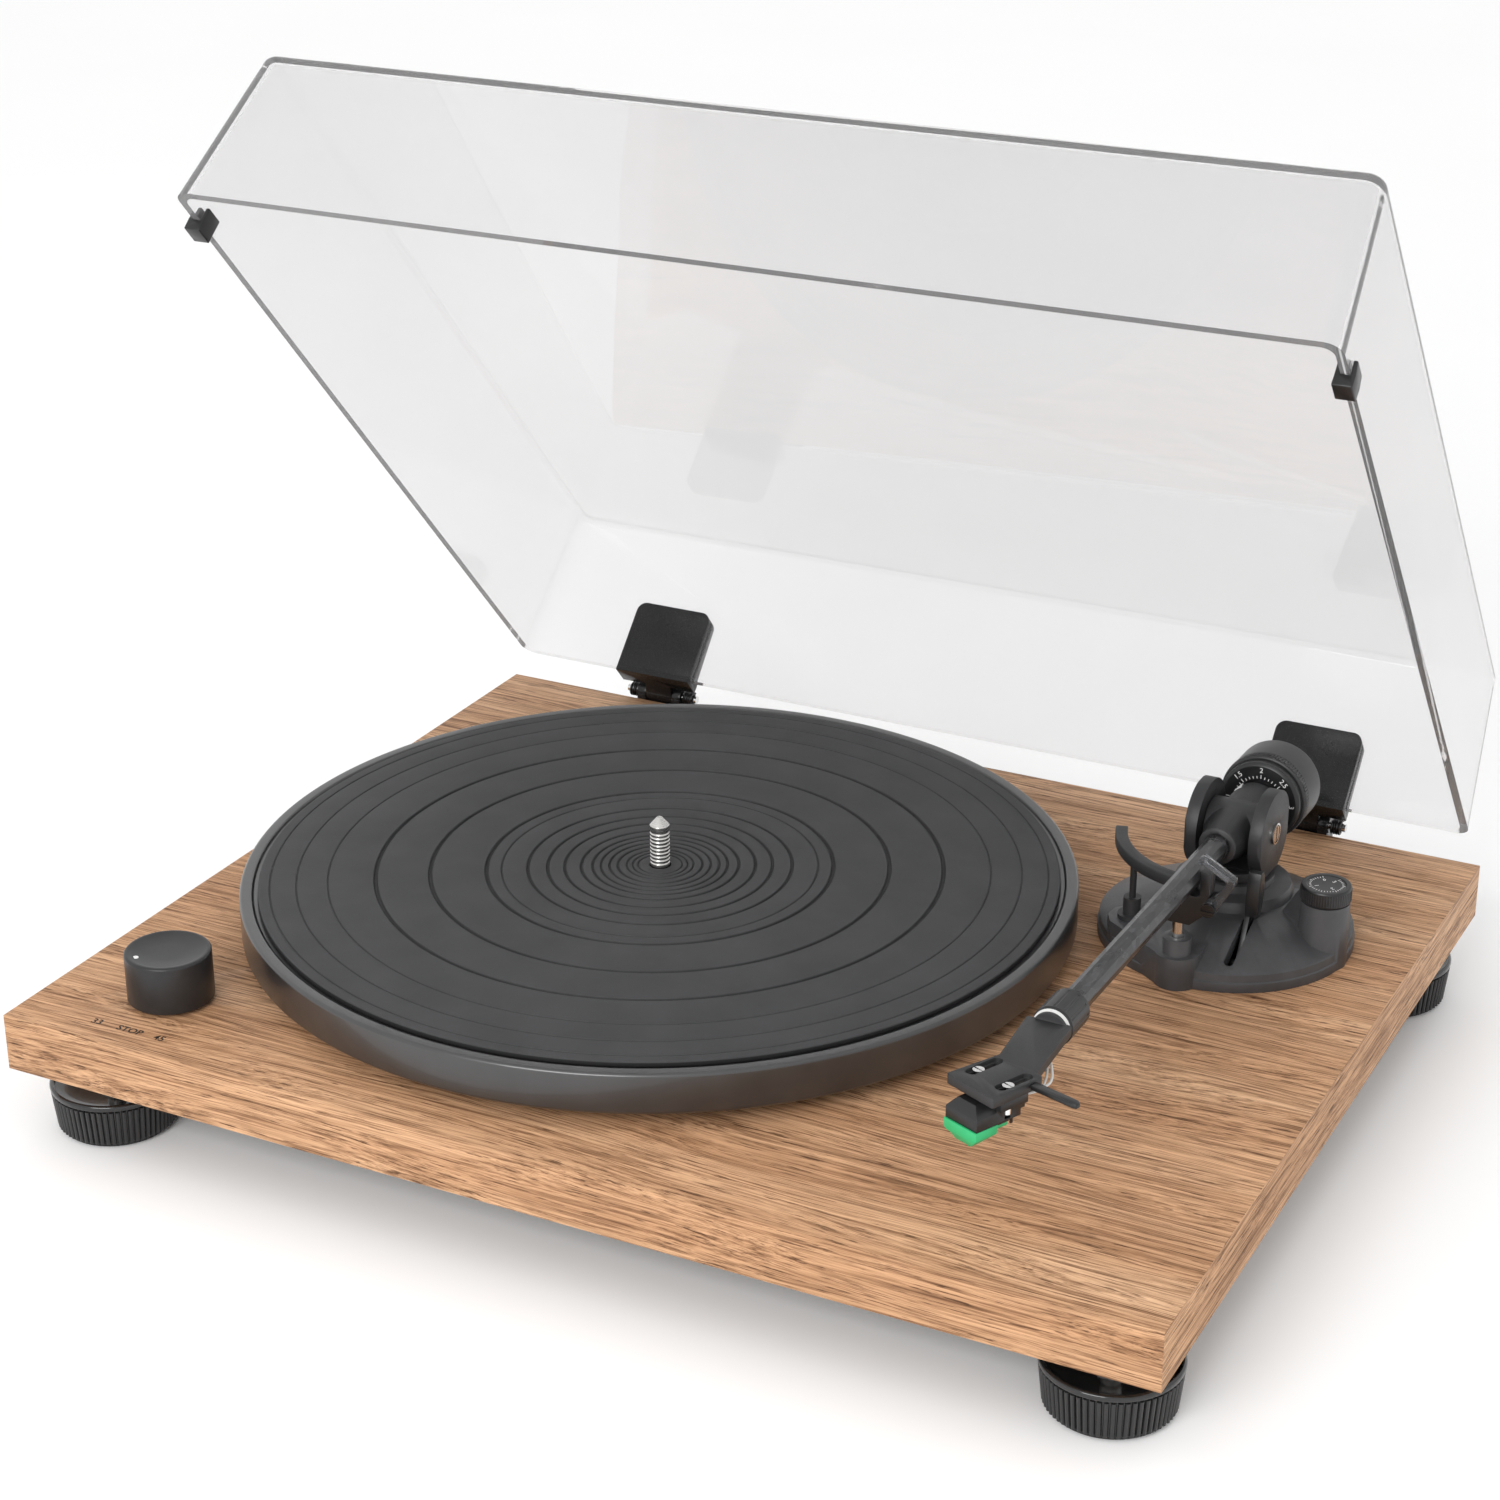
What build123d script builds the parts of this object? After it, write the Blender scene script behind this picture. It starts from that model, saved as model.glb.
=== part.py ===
from build123d import *
import math
import os

# Turntable record player, open dust cover. Millimetres, X right, Y back, Z up.
# Everything is built in deck coordinates: the origin is the middle of the plinth's top face.

# ---- driving dimensions -------------------------------------------------------------------
PLINTH_W, PLINTH_D, PLINTH_T = 420.0, 340.0, 20.7
STAND_Z = -48.0

PLATTER_X, PLATTER_Y, PLATTER_R = -43.4, -5.5, 150.0
PLATTER_LOW, PLATTER_TOP = 6.0, 21.2
MAT_R, MAT_LOW, MAT_TOP = 143.5, 20.0, 22.0
DRIVE_RING_R, PULLEY_R, PULLEY_REACH = 98.0, 7.0, 125.0
BELT_GAP, BELT_T = 0.3, 0.8
PIN_R, PIN_TOP = 3.6, 41.0
SHAFT_R, RUNNING_FIT = 3.0, 0.05

KNOB_X, KNOB_Y, KNOB_R, KNOB_LOW, KNOB_TOP = -165.5, -134.5, 15.0, 1.5, 19.2

BASE_X, BASE_Y, BASE_R = 142.8, 75.1, 45.6
PIVOT_X, PIVOT_Y, PIVOT_Z = 143.0, 80.0, 40.5
ARM_PITCH, ARM_YAW = 1.4, 0.5
LIFT_REACH = 40.3
LIFT_X, LIFT_Y = 116.2, 49.9
REST_X, REST_Y = 139.5, 32.0
LEVER_X, LEVER_Y, LEVER_Z = 156.5, 49.0, 3.0
DIAL_X, DIAL_Y = 180.0, 70.0
CLIP_X, CLIP_Z, CLIP_OPEN = 152.6, 34.5, 30.0
OFFSET_ANGLE = 22.5

COVER_W, COVER_D, COVER_LOW, COVER_TOP = 410.0, 330.0, 5.0, 69.0
COVER_SIDE_DRAFT, COVER_FRONT_DRAFT, COVER_REAR_DRAFT = 5.0, 4.2, 7.1
WALL = 3.0
HINGE_Y, HINGE_Z, COVER_OPEN = 174.6, 2.2, 48.67
HINGE_X = 140.5
REAR_REACH = 212.2

FOOT_X, FOOT_Y, FOOT_TOP = 185.6, 144.5, -30.0
JACKS = {"left": 76.0, "right": 58.0, "ground": 92.0, "switch": 34.0, "power": 8.0}
JACK_Z = -11.0
PANEL_X0, PANEL_X1, PANEL_Y = -6.0, 104.0, 161.0


# ---- plain shapes ----------------------------------------------------------------------------
def box(x0, x1, y0, y1, z0, z1):
    return Pos((x0 + x1) / 2, (y0 + y1) / 2, (z0 + z1) / 2) * Box(x1 - x0, y1 - y0, z1 - z0)


def rod_z(x, y, z0, z1, r):
    return Pos(x, y, (z0 + z1) / 2) * Cylinder(r, z1 - z0)


def rod_x(y, z, x0, x1, r):
    return Pos((x0 + x1) / 2, y, z) * Rot(0, 90, 0) * Cylinder(r, x1 - x0)


def rod_y(x, z, y0, y1, r):
    return Pos(x, (y0 + y1) / 2, z) * Rot(90, 0, 0) * Cylinder(r, y1 - y0)


def ring(x, y, z0, z1, outer, inner):
    return rod_z(x, y, z0, z1, outer) - rod_z(x, y, z0 - 1, z1 + 1, inner)


def lathe(points, x=0.0, y=0.0):
    """Turned solid about a vertical line, from its (radius, height) outline."""
    face = make_face(Polyline(*[(r, 0, z) for r, z in points], close=True))
    return Pos(x, y, 0) * revolve(face, Axis.Z)


def lathe_y(points):
    """Turned solid about the Y axis, from its (radius, y) outline."""
    face = make_face(Polyline(*[(r, y, 0) for r, y in points], close=True))
    return revolve(face, Axis.Y)


def slab(points, z0, z1):
    face = make_face(Polyline(*[(x, y, z0) for x, y in points], close=True))
    return extrude(face, amount=z1 - z0, dir=(0, 0, 1))


def side_slab(points, x0, x1):
    """Outline in (y, z), thick along X."""
    face = make_face(Polyline(*[(x0, y, z) for y, z in points], close=True))
    return extrude(face, amount=x1 - x0, dir=(1, 0, 0))


def front_slab(points, y0, y1):
    """Outline in (x, z), thick along Y."""
    face = make_face(Polyline(*[(x, y0, z) for x, z in points], close=True))
    return extrude(face, amount=y1 - y0, dir=(0, 1, 0))


def around(count, radius, x, y, first=0.0):
    steps = [math.radians(first + 360 * i / count) for i in range(count)]
    return [(x + radius * math.cos(a), y + radius * math.sin(a)) for a in steps]


def screw_down(x, y, z, head_r=3.0, head_h=1.6, shank_r=1.5, shank=8.0):
    """Pan head resting at height z, cross slot on top, shank going down."""
    head = rod_z(x, y, z, z + head_h, head_r)
    cross = box(x - 2, x + 2, y - 0.4, y + 0.4, z + 0.7, z + 3)
    cross += box(x - 0.4, x + 0.4, y - 2, y + 2, z + 0.7, z + 3)
    return head - cross + rod_z(x, y, z - shank, z, shank_r)


def screw_up(x, y, z, head_r=3.0, head_h=1.6, shank_r=1.5, shank=8.0):
    """The same screw driven from below, its head under height z."""
    return Pos(0, 0, z) * Rot(180, 0, 0) * screw_down(x, -y, 0, head_r, head_h, shank_r, shank)


def solids(*shapes):
    found = []
    for shape in shapes:
        found += list(shape.solids())
    return Compound(children=found)


# ---- whole-object frame -----------------------------------------------------------------------
def opened(y, z):
    """Where a point of the closed cover lies with the cover open."""
    a = math.radians(COVER_OPEN)
    dy, dz = y - HINGE_Y, z - HINGE_Z
    return HINGE_Y + dy * math.cos(a) + dz * math.sin(a), HINGE_Z - dy * math.sin(a) + dz * math.cos(a)


SHIFT = Pos(0, (PLINTH_D / 2 - REAR_REACH) / 2, -STAND_Z)
OPEN = Pos(0, HINGE_Y, HINGE_Z) * Rot(-COVER_OPEN, 0, 0) * Pos(0, -HINGE_Y, -HINGE_Z)
YOKE_AT = Pos(PIVOT_X, PIVOT_Y, PIVOT_Z) * Rot(0, 0, -ARM_YAW)
ARM_AT = YOKE_AT * Rot(-ARM_PITCH, 0, 0)
PULLEY_X = PLATTER_X - PULLEY_REACH * math.cos(math.radians(45))
PULLEY_Y = PLATTER_Y - PULLEY_REACH * math.sin(math.radians(45))

# ---- plinth and what is inside it ---------------------------------------------------------------
SKIN = -5.0
POCKET_X, POCKET_Y, PILLAR_X, PILLAR_Y = 190.0, 150.0, 176.0, 134.0
COVER_LIP = 8.0
FEET = [(sx * FOOT_X, sy * FOOT_Y) for sy in (-1, 1) for sx in (-1, 1)]
BEARING_SCREWS = around(3, 19.0, PLATTER_X, PLATTER_Y, 30)
MOTOR_SCREWS = around(3, 22.0, PULLEY_X, PULLEY_Y, 75)
BASE_SCREWS = around(3, 41.0, BASE_X, BASE_Y, 30)
COVER_SCREWS = [(-120, -154), (0, -154), (120, -154), (-120, 154), (120, 154)]
COVER_SCREWS += [(-194, -60), (-194, 60), (194, -60), (194, 60)]


def pocket(grow, z0, z1, notch_x, notch_y):
    shape = box(-POCKET_X - grow, POCKET_X + grow, -POCKET_Y - grow, POCKET_Y + grow, z0, z1)
    for sx in (-1, 1):
        for sy in (-1, 1):
            corner = Pos(sx * (notch_x + 40), sy * (notch_y + 40), (z0 + z1) / 2) * Box(80, 80, z1 - z0 + 2)
            shape -= corner
    return shape


def make_plinth():
    low = -PLINTH_T
    body = box(-PLINTH_W / 2, PLINTH_W / 2, -PLINTH_D / 2, PLINTH_D / 2, low, 0)
    body -= pocket(0, low - 1, SKIN, PILLAR_X, PILLAR_Y)
    body -= pocket(COVER_LIP, low - 1, low + 2.2, PILLAR_X + 2.5, PILLAR_Y + 2.5)
    body -= rod_z(PLATTER_X, PLATTER_Y, SKIN - 1, 1, 14.0)
    body -= rod_z(PULLEY_X, PULLEY_Y, SKIN - 1, 1, 12.0)
    body -= rod_z(BASE_X, BASE_Y, SKIN - 1, 1, 37.5)
    body -= rod_z(KNOB_X, KNOB_Y, SKIN - 1, 1, 4.5)
    body -= box(PANEL_X0 - 0.2, PANEL_X1 + 0.2, POCKET_Y - 1, PLINTH_D / 2 + 1, -19.0, -3.0)
    for x, y in FEET:
        body -= rod_z(x, y, low - 1, -6.0, 4.1)
    for x, y in BEARING_SCREWS + MOTOR_SCREWS + BASE_SCREWS:
        body -= rod_z(x, y, SKIN - 1, 1, 1.7)
    for x, y in COVER_SCREWS:
        body -= rod_z(x, y, low - 1, -10.0, 1.6)
    return body


def make_bottom_cover():
    low = -PLINTH_T
    plate = pocket(COVER_LIP - 0.3, low + 0.2, low + 2.0, PILLAR_X + 2.2, PILLAR_Y + 2.2)
    for i in range(9):
        x = PULLEY_X - 20 + 5 * i
        plate -= box(x - 1.2, x + 1.2, PULLEY_Y - 16, PULLEY_Y + 16, low - 1, low + 3)
    for x, y in COVER_SCREWS:
        plate -= rod_z(x, y, low - 1, low + 3, 1.7)
    return plate


def make_screws():
    found = [screw_down(x, y, 2.6) for x, y in BEARING_SCREWS]
    found += [screw_up(x, y, -8.4, shank=7.4) for x, y in MOTOR_SCREWS]
    found += [screw_up(x, y, SKIN, shank=7.4) for x, y in BASE_SCREWS]
    found += [screw_up(x, y, -PLINTH_T + 0.2) for x, y in COVER_SCREWS]
    return solids(*found)


def make_bearing_housing():
    points = [(4.9, -16), (4.9, 3.4), (12, 3.4), (13, 2.6), (23, 2.6), (23, 0.05), (9, 0.05), (9, -18), (0, -18)]
    points += [(0, -16.0)]
    body = lathe(points, PLATTER_X, PLATTER_Y)
    for x, y in BEARING_SCREWS:
        body -= rod_z(x, y, -1, 4, 1.7)
    return body


def make_spindle():
    points = [(0, -13.9), (SHAFT_R, -13.9), (SHAFT_R, 4.6), (11.0, 4.6), (11.0, 17.0), (3.3, 17.0)]
    points += [(3.3, MAT_TOP), (PIN_R, MAT_TOP), (PIN_R, PIN_TOP - 3.2), (1.0, PIN_TOP - 0.3), (0.5, PIN_TOP), (0, PIN_TOP)]
    return lathe(points, PLATTER_X, PLATTER_Y)


def make_platter():
    outer, low, top = PLATTER_R, PLATTER_LOW, PLATTER_TOP
    points = [(11.0, 8), (22, 8), (24, 16.5), (DRIVE_RING_R - 5, 16.5), (DRIVE_RING_R - 4, 7)]
    points += [(DRIVE_RING_R, 7), (DRIVE_RING_R, 16.5), (142.5, 16.5), (143.5, low)]
    points += [(outer - 1.2, low), (outer, low + 1.2), (outer, top - 0.8), (outer - 0.8, top)]
    points += [(145.7, top), (145.0, MAT_LOW), (11.0, MAT_LOW)]
    body = lathe(points, PLATTER_X, PLATTER_Y)
    for x, y in around(2, 121.0, PLATTER_X, PLATTER_Y, 45):
        body -= rod_z(x, y, 10, 30, 17.0)
    return body


# radius, half width and depth of each groove in the mat
MAT_GROOVES = [(139.2, 0.45, 0.35), (129.8, 0.45, 0.35), (118.7, 0.45, 0.35), (101.8, 0.9, 0.8), (82.4, 0.9, 0.8)]
MAT_GROOVES += [(62.3, 0.9, 0.8), (56.9, 0.5, 0.4), (47.5, 0.75, 0.7), (40.4, 0.75, 0.7), (34.3, 0.7, 0.7)]
MAT_GROOVES += [(28.3, 0.7, 0.7), (24.3, 0.65, 0.65), (21.3, 0.6, 0.6), (18.2, 0.6, 0.6), (15.2, 0.6, 0.6)]
MAT_GROOVES += [(12.0, 0.5, 0.5), (9.9, 0.45, 0.5), (7.9, 0.4, 0.45)]


def make_mat():
    points = [(3.9, MAT_LOW), (MAT_R, MAT_LOW), (MAT_R, MAT_TOP - 0.3), (MAT_R - 0.4, MAT_TOP)]
    for r, half, deep in MAT_GROOVES:
        points += [(r + half, MAT_TOP), (r + 0.5 * half, MAT_TOP - deep)]
        points += [(r - 0.5 * half, MAT_TOP - deep), (r - half, MAT_TOP)]
    points += [(3.9, MAT_TOP)]
    return lathe(points, PLATTER_X, PLATTER_Y)


def make_belt():
    """Flat belt round the drive ring and the pulley, as one closed loop."""
    def loop(big, small):
        a = math.acos((big - small) / PULLEY_REACH)
        cb, sb, cs, ss = big * math.cos(a), big * math.sin(a), small * math.cos(a), small * math.sin(a)
        d = PULLEY_REACH
        edges = ThreePointArc((cb, sb), (-big, 0), (cb, -sb)) + Line((cb, -sb), (d + cs, -ss))
        edges += ThreePointArc((d + cs, -ss), (d + small, 0), (d + cs, ss)) + Line((d + cs, ss), (cb, sb))
        return make_face(edges)
    big, small = DRIVE_RING_R + BELT_GAP, PULLEY_R + BELT_GAP
    face = loop(big + BELT_T, small + BELT_T) - loop(big, small)
    return Pos(PLATTER_X, PLATTER_Y, 8.6) * Rot(0, 0, 225) * extrude(face, amount=4.6, dir=(0, 0, 1))


def make_motor_can():
    can = lathe([(0, -18.2), (14, -18.2), (15, -17.4), (15, -8.0), (6, -8.0), (6, -6.6), (0, -6.6)], PULLEY_X, PULLEY_Y)
    return can + rod_z(PULLEY_X, PULLEY_Y, -7, 14.2, 1.0)


def make_motor_plate():
    plate = rod_z(PULLEY_X, PULLEY_Y, -8.0, -6.8, 27.0) - rod_z(PULLEY_X, PULLEY_Y, -9, -6, 6.1)
    for x, y in MOTOR_SCREWS:
        plate -= rod_z(x, y, -9, -6, 3.0)
    return plate


def make_grommets():
    return solids(*[ring(x, y, -8.4, SKIN - 0.05, 3.0, 1.6) for x, y in MOTOR_SCREWS])


def make_pulley():
    points = [(1.03, 6.4), (8.2, 6.4), (8.2, 7.4), (PULLEY_R - 0.2, 7.8), (PULLEY_R, 10.9), (PULLEY_R - 0.2, 14.0)]
    points += [(8.2, 14.4), (8.2, 15.2), (1.03, 15.2)]
    return lathe(points, PULLEY_X, PULLEY_Y)


BOARD = (10.0, 96.0, 92.0, 146.0)


def make_board():
    x0, x1, y0, y1 = BOARD
    board = box(x0, x1, y0, y1, -16.4, -14.8)
    for x, y in ((x0 + 4, y0 + 4), (x1 - 4, y0 + 4), (x0 + 4, y1 - 4), (x1 - 4, y1 - 4)):
        board -= rod_z(x, y, -18, -13, 1.6)
        board += ring(x, y, -18.7, -16.4, 3.0, 1.6)
    return board


def make_board_parts():
    x0, x1, y0, y1 = BOARD
    top = -14.8
    found = [rod_z(x0 + 14 + 11 * i, y0 + 12, top, top + 8, 3.2) for i in range(4)]
    found += [box(x0 + 12 + 20 * i, x0 + 24 + 20 * i, y0 + 22, y0 + 29, top, top + 3) for i in range(3)]
    found += [box(x0 + 12 + 13 * i, x0 + 21 + 13 * i, y1 - 12, y1 - 6, top, top + 6) for i in range(5)]
    found += [box(x1 - 18, x1 - 8, y0 + 8, y0 + 26, top, top + 7)]
    return solids(*found)


def make_speed_switch():
    body = rod_z(KNOB_X, KNOB_Y, -17.5, SKIN - 0.05, 9.0) + rod_z(KNOB_X, KNOB_Y, SKIN - 1, -0.6, 4.3)
    body -= rod_z(KNOB_X, KNOB_Y, -14.0, 0, 3.0 + RUNNING_FIT)
    for dy in (-3, 0, 3):
        body += box(KNOB_X + 8, KNOB_X + 13, KNOB_Y + dy - 0.7, KNOB_Y + dy + 0.7, -16.5, -16.0)
    return body


def make_speed_knob():
    points = [(0, -12.0), (3.0, -12.0), (3.0, KNOB_LOW), (KNOB_R - 0.3, KNOB_LOW), (KNOB_R, KNOB_LOW + 0.3)]
    points += [(KNOB_R, KNOB_TOP - 0.6), (KNOB_R - 0.6, KNOB_TOP), (KNOB_R - 1.4, KNOB_TOP)]
    points += [(KNOB_R - 3.5, KNOB_TOP - 0.6), (6, KNOB_TOP - 1.0), (0, KNOB_TOP - 1.1)]
    return lathe(points, KNOB_X, KNOB_Y)


# ---- rear panel, jacks, ground screw, switch -----------------------------------------------------
def make_rear_panel():
    panel = box(PANEL_X0, PANEL_X1, PANEL_Y, PANEL_Y + 2.0, -18.8, -3.2)
    for name in ("left", "right", "power"):
        panel -= rod_y(JACKS[name], JACK_Z, PANEL_Y - 1, PANEL_Y + 3, 4.4)
    panel -= rod_y(JACKS["ground"], JACK_Z, PANEL_Y - 1, PANEL_Y + 3, 1.6)
    x = JACKS["switch"]
    return panel - box(x - 5, x + 5, PANEL_Y - 1, PANEL_Y + 3, JACK_Z - 2.2, JACK_Z + 2.2)


def make_rca_jacks():
    found = []
    for name in ("left", "right"):
        x = JACKS[name]
        shell = rod_y(x, JACK_Z, PANEL_Y + 0.2, 171.0, 4.15) - rod_y(x, JACK_Z, PANEL_Y - 1, 172.0, 3.45)
        found.append(shell + (rod_y(x, JACK_Z, PANEL_Y + 2.05, PANEL_Y + 3.2, 5.4) - rod_y(x, JACK_Z, 150, 170, 3.45)))
    return solids(*found)


def make_jack_inserts():
    found = []
    for name in ("left", "right"):
        x = JACKS[name]
        found.append(rod_y(x, JACK_Z, PANEL_Y - 8, 170.4, 3.4) - rod_y(x, JACK_Z, PANEL_Y, 172, 1.6))
    x = JACKS["power"]
    socket = rod_y(x, JACK_Z, PANEL_Y - 9, 168.0, 4.3) - rod_y(x, JACK_Z, PANEL_Y - 4, 170, 2.75)
    found.append(socket + rod_y(x, JACK_Z, PANEL_Y - 5, 167.0, 1.05))
    x = JACKS["switch"]
    found.append(box(x - 7, x + 7, PANEL_Y - 7, PANEL_Y - 0.05, JACK_Z - 3.6, JACK_Z + 3.6))
    return solids(*found)


def make_ground_knob():
    x = JACKS["ground"]
    knob = rod_y(x, JACK_Z, PANEL_Y + 2.6, 171.5, 4.6) - rod_y(x, JACK_Z, 170.7, 172, 3.2)
    for i in range(18):
        a = math.radians(20 * i)
        knob -= rod_y(x + 4.75 * math.cos(a), JACK_Z + 4.75 * math.sin(a), 164.6, 172, 0.35)
    return knob + rod_y(x, JACK_Z, PANEL_Y - 6, PANEL_Y + 3, 1.55)


def make_line_switch():
    x = JACKS["switch"]
    slider = box(x - 4.6, x - 0.6, PANEL_Y + 0.3, 167.0, JACK_Z - 1.8, JACK_Z + 1.8)
    for i in range(3):
        y = 164.0 + i
        slider -= box(x - 5, x, y, y + 0.4, JACK_Z + 1.5, JACK_Z + 3)
        slider -= box(x - 5, x, y, y + 0.4, JACK_Z - 3, JACK_Z - 1.5)
    return slider


# ---- feet ----------------------------------------------------------------------------------------
def make_foot(x, y):
    low, top = STAND_Z, FOOT_TOP
    shell = [(3.0, top - 3.4), (8, top - 3.4), (17, top - 2.2), (20.6, top - 1.6), (21.2, top - 0.2), (21.8, top)]
    shell += [(22.5, top - 0.6), (22.5, top - 2.0), (22.1, top - 2.6), (20.6, low + 2.4), (20.4, low + 1.7)]
    shell += [(17.6, low + 1.7), (17.6, low + 4.0), (3.0, low + 4.0)]
    pad = [(0, low), (18.6, low), (19.4, low + 0.5), (19.4, low + 1.7), (17.5, low + 1.7), (17.5, low + 3.9), (0, low + 3.9)]
    stud = [(0, low + 4.0), (2.95, low + 4.0), (2.95, -7.0), (2.4, -6.5), (0, -6.5)]
    nut = rod_z(x, y, top - 3.3, top - 0.6, 5.0) - rod_z(x, y, top - 4, top, 3.0)
    return solids(lathe(shell, x, y), lathe(pad, x, y), lathe(stud, x, y), nut)


# ---- dust cover and hinges (drawn closed, then opened) ---------------------------------------------
def cover_block(inset, z0, z1):
    """Tapered block of the cover between two heights, inset from its outside."""
    def outline(z):
        t = (z - COVER_LOW) / (COVER_TOP - COVER_LOW)
        w = COVER_W - 2 * COVER_SIDE_DRAFT * t - 2 * inset
        y0 = -COVER_D / 2 + COVER_FRONT_DRAFT * t + inset
        y1 = COVER_D / 2 - COVER_REAR_DRAFT * t - inset
        return Pos(0, (y0 + y1) / 2, z) * RectangleRounded(w, y1 - y0, 6.0 - 0.6 * inset)
    return loft([outline(z0), outline(z1)], ruled=True)


def make_dust_cover():
    outer = cover_block(0, COVER_LOW, COVER_TOP)
    outer = fillet(outer.edges().group_by(Axis.Z)[-1], 4.5)
    inner = cover_block(WALL, COVER_LOW - 5, COVER_TOP - WALL)
    inner = fillet(inner.edges().group_by(Axis.Z)[-1], 2.0)
    return OPEN * (outer - inner)


def rear_face(z):
    return COVER_D / 2 - COVER_REAR_DRAFT * (z - COVER_LOW) / (COVER_TOP - COVER_LOW)


def make_leaf(x):
    top, low, gap = 34.0, COVER_LOW - 0.1, 0.1
    outside = [(rear_face(low) + gap, low), (rear_face(low) + 3.4, low), (rear_face(top) + 2.6, top)]
    outside += [(rear_face(top) + gap, top)]
    inside = [(rear_face(low) - WALL - 3.2, low), (rear_face(low) - WALL - gap, low)]
    inside += [(rear_face(top) - WALL - gap, top), (rear_face(top) - WALL - 2.4, top)]
    web = [(158.9, low - 2.4), (168.4, low - 2.4), (168.4, low), (158.9, low)]
    leaf = side_slab(outside, x - 17, x + 17) + side_slab(inside, x - 17, x + 17) + side_slab(web, x - 17, x + 17)
    neck = [(167.0, low - 2.4), (174.6, HINGE_Z - 4.2), (174.6, HINGE_Z + 4.2), (170.4, 9.5), (167.0, 11.5)]
    leaf += side_slab(neck, x - 5.9, x + 5.9) + rod_x(HINGE_Y, HINGE_Z, x - 5.9, x + 5.9, 4.3)
    frame = Pos(x, 165, 18.25) * Rot(90, 0, 0) * extrude(RectangleRounded(34, 31.5, 4), amount=40, both=True)
    keep = frame + box(x - 17, x + 17, 150, 190, -5, 14)
    return (leaf & keep) - rod_x(HINGE_Y, HINGE_Z, x - 30, x + 30, 1.6 + RUNNING_FIT)


def make_hinge_base(x):
    plate = box(x - 17, x + 17, 170.05, 172.8, -19.0, -2.6)
    for s in (-1, 1):
        x0 = x + s * 8.1 - 1.9
        ear = box(x0, x0 + 3.8, 170.05, HINGE_Y + 4.3, -12.0, HINGE_Z) + rod_x(HINGE_Y, HINGE_Z, x0, x0 + 3.8, 4.3)
        plate += ear
        plate -= rod_y(x + s * 13.2, -13.5, 168, 174, 1.7)
    plate -= box(x - 30, x + 30, 160, 170.05, -30, 30)
    return plate - rod_x(HINGE_Y, HINGE_Z, x - 30, x + 30, 1.6)


def make_hinge_spring(x, s):
    """Close-wound spring as one sleeve with a scalloped outside."""
    turns, wire, outer = 4, 1.1, 3.2
    points = [(2.1, 0), (outer - 0.5, 0)]
    for i in range(turns):
        z = wire * i
        points += [(outer, z + 0.3 * wire), (outer, z + 0.7 * wire), (outer - 0.5, z + wire)]
    points += [(2.1, wire * turns)]
    return Pos(x + s * 10.5, HINGE_Y, HINGE_Z) * Rot(0, 90 * s, 0) * lathe(points)


def make_clip(s):
    """Soft stop pushed on the side wall near the front corner, closed position."""
    y0, y1, top = -149.5, -141.5, 10.0

    def side(z, off):
        return s * (COVER_W / 2 - COVER_SIDE_DRAFT * (z - COVER_LOW) / (COVER_TOP - COVER_LOW) + off)
    low = COVER_LOW - 0.05
    outer = [(side(low, 0.05), low), (side(low, 1.7), low), (side(top, 1.5), top), (side(top, 0.05), top)]
    inner = [(side(low, -WALL - 1.7), low), (side(low, -WALL - 0.05), low)]
    inner += [(side(top, -WALL - 0.05), top), (side(top, -WALL - 1.5), top)]
    pad = [(side(low, -WALL - 1.7), 0.8), (side(low, 1.7), 0.8), (side(low, 1.7), low), (side(low, -WALL - 1.7), low)]
    return front_slab(outer, y0, y1) + front_slab(inner, y0, y1) + front_slab(pad, y0, y1)


# ---- tonearm base ----------------------------------------------------------------------------------
def cone_top(r):
    return 7.0 + (44.4 - r) * 0.411


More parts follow.
